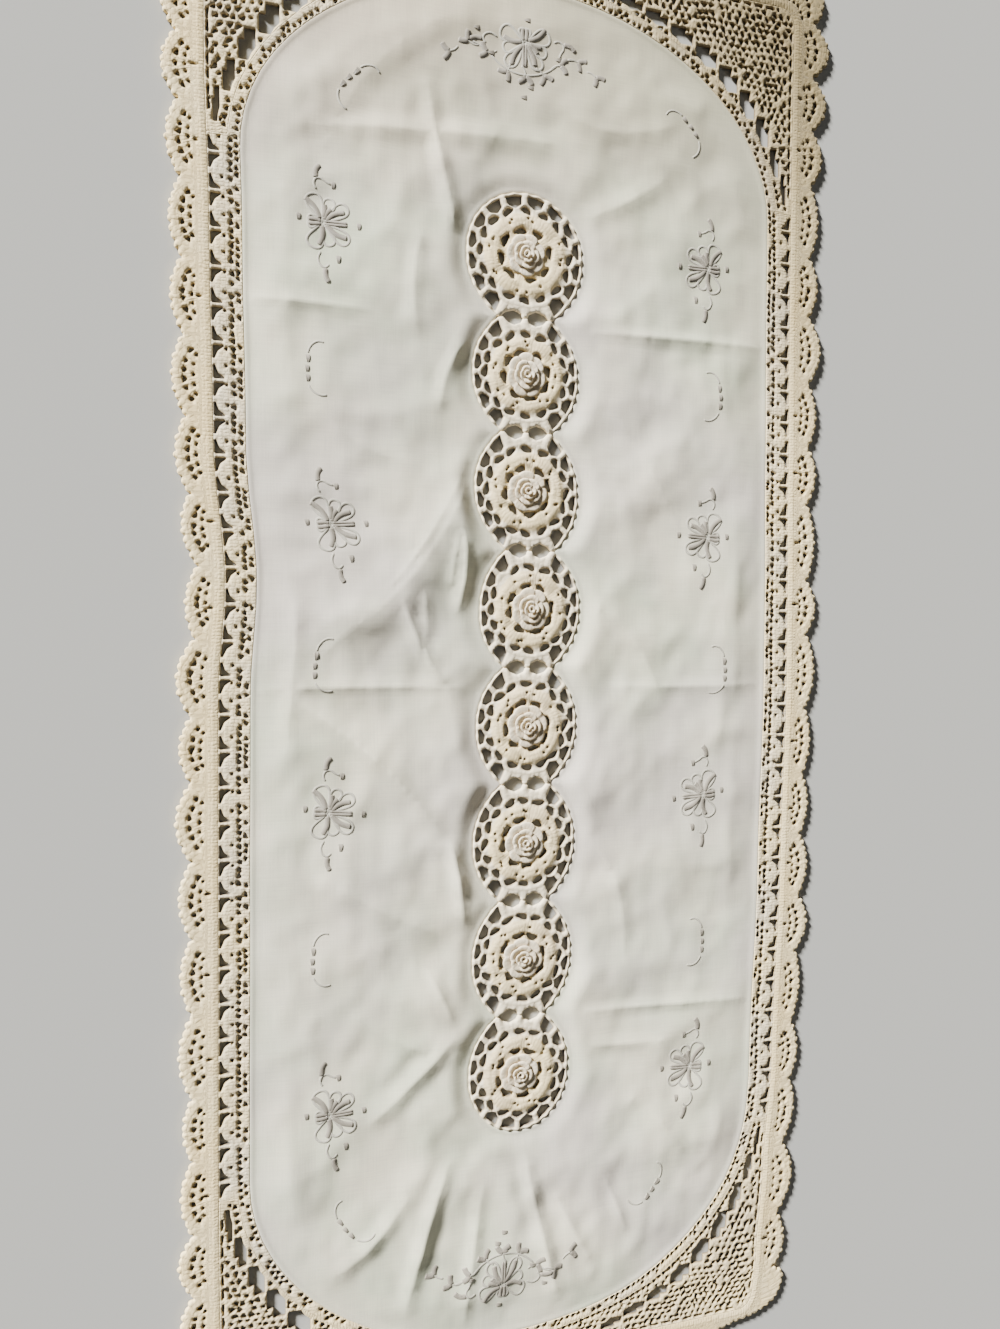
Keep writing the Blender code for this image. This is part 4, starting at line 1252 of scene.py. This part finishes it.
def sprig_lines():
    """One sprig: an open blossom facing +X with leaves, a hooked stem above and below, and dots."""
    # Petals. Columns: angle in degrees, length, width.
    lines = [(petal_line(length, width, angle), 0.95, False) for angle, length, width in (
        (112.0, 16.0, 9.0), (-112.0, 15.0, 9.0), (70.0, 14.0, 6.5), (-70.0, 13.0, 6.5),
        (36.0, 16.5, 7.5), (-36.0, 17.0, 7.5), (168.0, 8.0, 4.5), (-168.0, 8.0, 4.5),
    )]
    # Leaves between them. Columns: angle in degrees, start, end, bow.
    lines += [(ray(*leaf), 1.5, True) for leaf in (
        (128.0, 2.5, 15.5, -1.6), (28.0, 2.0, 13.5, 1.5), (-30.0, 2.0, 15.0, -1.5),
        (58.0, 2.0, 9.0, 0.8), (-100.0, 2.0, 12.5, 1.2), (84.0, 3.0, 10.0, -0.6),
    )]
    for s in (-1.0, 1.0):
        lines += [
            (((0.5, 0.75 * s), (5.0, 0.8 * s), (9.0, 0.75 * s), (13.5, 0.6 * s)), 0.9, True),
            (((-8.0, 1.1 * s), (-5.5, 1.3 * s), (-3.0, 1.2 * s), (-1.0, 0.7 * s)), 1.2, True),
        ]
    return lines + [
        (((-3.0, 17.5), (-4.6, 20.2), (-3.6, 23.4), (-0.6, 24.0), (2.0, 22.0), (5.0, 21.0)), 0.8, False),
        (((-3.2, 23.6), (-3.4, 26.4), (-2.6, 29.0), (-0.6, 31.0)), 1.5, True),
        (((-1.0, -15.5), (-3.0, -19.5), (-1.6, -23.4), (1.2, -24.6), (3.4, -22.4)), 0.8, False),
        (((1.4, -24.6), (1.2, -27.4), (1.8, -30.0), (3.2, -32.2)), 1.4, True),
        dot(6.0, 20.4), dot(8.2, -19.5, 2.2), dot(-13.0, 1.5), dot(19.5, -0.5),
    ]


def garland_lines():
    """Leaf pairs that run out to both sides of the end sprigs, facing +X."""
    lines = [
        (((9.0, -20.0), (14.0, -14.0), (17.0, -7.0), (18.0, 0.0), (17.0, 7.0), (14.0, 14.0),
          (9.0, 20.0)), 0.8, False),
        (((8.0, 22.0), (5.0, 26.0), (4.0, 31.0)), 0.8, False),
        (((8.0, -22.0), (5.0, -26.0), (4.0, -31.0)), 0.8, False),
    ]
    for x, y, turn in (
        (17.0, -10.0, -20.0), (18.5, 1.0, 20.0), (16.5, 12.0, 50.0), (9.0, 22.0, 110.0),
        (8.0, -22.0, -80.0), (5.0, 33.0, 80.0), (4.0, -33.0, -110.0), (12.0, 44.0, 60.0),
        (12.0, -44.0, -60.0),
    ):
        lines += [(moved(line, x, y, math.radians(turn)), width, padded)
                  for line, width, padded in LEAF_PAIR]
    return lines + [dot(-3.0, 27.0), dot(24.0, 4.0), dot(30.0, 0.0), dot(-4.0, -28.0)]


def curl_lines():
    """One small curl: a thin arc at each end and three dots between."""
    return [
        (((9.0, 15.0), (6.0, 15.8), (3.0, 14.4), (0.8, 11.6), (0.0, 8.6)), 0.75, False),
        (((0.0, -8.4), (1.6, -11.4), (4.4, -13.4), (7.6, -14.0), (10.0, -13.4)), 0.75, False),
        dot(0.0, 5.6, 2.2), dot(-0.6, 0.2), dot(-0.4, -5.0, 2.0),
    ]


def smoothed(line):
    """An open line with more points and its corners eased."""
    for _ in range(2):
        cut = np.stack((0.75 * line[:-1] + 0.25 * line[1:], 0.25 * line[:-1] + 0.75 * line[1:]), 1)
        line = np.concatenate((line[:1], cut.reshape(-1, 2), line[-1:]))
    return line


def embroidery(settings, linen):
    """All sewn sprigs and curls as one joined piece on the linen."""
    bm = bmesh.new()
    uv = bm.loops.layers.uv.new("work")
    hollow = bm.verts.layers.float.new("hollow")

    def surface(points):
        return linen_height(points, linen)

    for table, lines in ((SPRIGS, sprig_lines()), (SPRIGS[-2:], garland_lines()), (CURLS, curl_lines())):
        for x, y, turn, mirror in table:
            for line, width, padded in lines:
                place = moved(smoothed(np.asarray(line, float)), x, y, math.radians(turn), mirror)
                rise = settings.rise * (1.3 if padded else 0.8)
                weight = settings.width * (1.15 if padded else 1.0)
                stroke(bm, uv, hollow, place, width * weight, rise, padded, surface)
    bmesh.ops.recalc_face_normals(bm, faces=bm.faces)
    for face in bm.faces:
        if face.normal.z < 0.0:
            face.normal_flip()
    piece = finished(bm, "embroidery")
    return dress(piece, stranded_floss(settings), LINEN)


# ---------------------------------------------------------------- stage

CAMERA_PLACE = (-0.1868, 0.0303, 0.5600)
CAMERA_TURN = (-2.444, -17.128, 0.414)      # degrees
LAMP_COLOUR = (1.0, 0.985, 0.955)


def stage(settings):
    """Floor, lights and camera."""
    bm = bmesh.new()
    bmesh.ops.create_grid(bm, x_segments=1, y_segments=1, size=3.0)
    for vert in bm.verts:
        vert.co.z = -0.0005
    floor = finished(bm, "floor")
    floor.data.materials.append(painted_board(settings))
    low, high = math.cos(settings.rise), math.sin(settings.rise)
    for name, power, toward in (("key", settings.key, (-0.72 * low, 0.69 * low, high)),
                                ("fill", settings.fill, (0.80 * low, -0.60 * low, high))):
        lamp = bpy.data.lights.new(name, "SUN")
        lamp.energy = power
        lamp.angle = settings.spread
        lamp.color = LAMP_COLOUR
        light = bpy.data.objects.new(name, lamp)
        light.location = toward
        light.rotation_euler = (-Vector(toward)).to_track_quat("-Z", "Y").to_euler()
        bpy.context.scene.collection.objects.link(light)
    world = bpy.data.worlds.new("even light")
    world.use_nodes = True
    background = world.node_tree.nodes["Background"]
    background.inputs["Color"].default_value = (1.0, 0.985, 0.95, 1.0)
    background.inputs["Strength"].default_value = settings.sky
    bpy.context.scene.world = world
    eye = bpy.data.cameras.new("camera")
    eye.lens = settings.lens
    eye.sensor_width = 36.0
    eye.clip_start = 0.01
    camera = bpy.data.objects.new("camera", eye)
    camera.location = CAMERA_PLACE
    camera.rotation_euler = [math.radians(angle) for angle in CAMERA_TURN]
    bpy.context.scene.collection.objects.link(camera)
    bpy.context.scene.camera = camera


# ---------------------------------------------------------------- operators

class RunnerOperator:
    """Shared parts of the runner's operators."""
    bl_options = {"REGISTER", "UNDO"}

    def execute(self, context):
        self.work(context.scene)
        return {"FINISHED"}


class RUNNER_OT_linen(RunnerOperator, bpy.types.Operator):
    """Lay the linen panel on its folds"""
    bl_idname = "runner.linen"
    bl_label = "Linen panel"

    def work(self, scene):
        linen_panel(scene.runner_linen)


class RUNNER_OT_edging(RunnerOperator, bpy.types.Operator):
    """Work the edging round the oval"""
    bl_idname = "runner.edging"
    bl_label = "Oval edging"

    def work(self, scene):
        edging(scene.runner_lace, hand(scene.runner_lace, 0))


class RUNNER_OT_nets(RunnerOperator, bpy.types.Operator):
    """Work the four corner nets"""
    bl_idname = "runner.nets"
    bl_label = "Corner nets"

    def work(self, scene):
        for index in range(len(NETS)):
            corner_net(index, scene.runner_lace, hand(scene.runner_lace, 10 + index))


class RUNNER_OT_border(RunnerOperator, bpy.types.Operator):
    """Work the band and the scalloped fans"""
    bl_idname = "runner.border"
    bl_label = "Outer border"

    def work(self, scene):
        border(scene.runner_lace, hand(scene.runner_lace, 20))


class RUNNER_OT_medallions(RunnerOperator, bpy.types.Operator):
    """Work the rose medallions"""
    bl_idname = "runner.medallions"
    bl_label = "Rose medallions"

    def work(self, scene):
        settings = scene.runner_lace
        ground = crochet_cotton("medallion_cotton", settings.colour, settings.post, settings.row,
                                linear("F8E4B8"), rim=(23.0, settings.pale), depth=0.6)
        petals = crochet_cotton("rose_petal_cotton", linear("F2E5CA"), settings.post, 3.0,
                                linear("EEDDBE"), depth=0.5)
        for index in range(len(MEDALLIONS)):
            vary = hand(settings, 30 + index)
            medallion(index, settings, ground, vary)
            rose(index, petals, vary)


class RUNNER_OT_embroidery(RunnerOperator, bpy.types.Operator):
    """Sew the sprigs and curls on the linen"""
    bl_idname = "runner.embroidery"
    bl_label = "Embroidery"

    def work(self, scene):
        embroidery(scene.runner_embroidery, scene.runner_linen)


class RUNNER_OT_stage(RunnerOperator, bpy.types.Operator):
    """Set the floor, the lights and the camera"""
    bl_idname = "runner.stage"
    bl_label = "Stage"

    def work(self, scene):
        stage(scene.runner_stage)


OPERATORS = (
    RUNNER_OT_linen,
    RUNNER_OT_edging,
    RUNNER_OT_nets,
    RUNNER_OT_border,
    RUNNER_OT_medallions,
    RUNNER_OT_embroidery,
    RUNNER_OT_stage,
)


class RUNNER_PT_panel(bpy.types.Panel):
    """The runner's pieces and settings"""
    bl_idname = "RUNNER_PT_panel"
    bl_label = "Crochet table runner"
    bl_space_type = "VIEW_3D"
    bl_region_type = "UI"
    bl_category = "Runner"

    def draw(self, context):
        for operator in OPERATORS:
            self.layout.operator(operator.bl_idname)
        for name, group in SETTINGS.items():
            box = self.layout.box()
            for key in group.__annotations__:
                box.prop(getattr(context.scene, name), key)


def register():
    """Register the settings, the operators and the panel."""
    for name, group in SETTINGS.items():
        bpy.utils.register_class(group)
        setattr(bpy.types.Scene, name, PointerProperty(type=group))
    for operator in OPERATORS:
        bpy.utils.register_class(operator)
    bpy.utils.register_class(RUNNER_PT_panel)


def unregister():
    """Take back what register did."""
    bpy.utils.unregister_class(RUNNER_PT_panel)
    for operator in reversed(OPERATORS):
        bpy.utils.unregister_class(operator)
    for name, group in SETTINGS.items():
        delattr(bpy.types.Scene, name)
        bpy.utils.unregister_class(group)


def declare():
    """Look up the linen and the other pieces that carry a work map; nothing is done with them."""
    linen = bpy.data.objects["linen"]
    others = [o for o in bpy.data.objects if "work" in getattr(o.data, "uv_layers", ()) and o != linen]


def main():
    """Make the whole scene."""
    register()
    bpy.ops.runner.linen()
    bpy.ops.runner.edging()
    bpy.ops.runner.nets()
    bpy.ops.runner.border()
    bpy.ops.runner.medallions()
    bpy.ops.runner.embroidery()
    declare()
    bpy.ops.runner.stage()


if __name__ == "__main__":
    main()
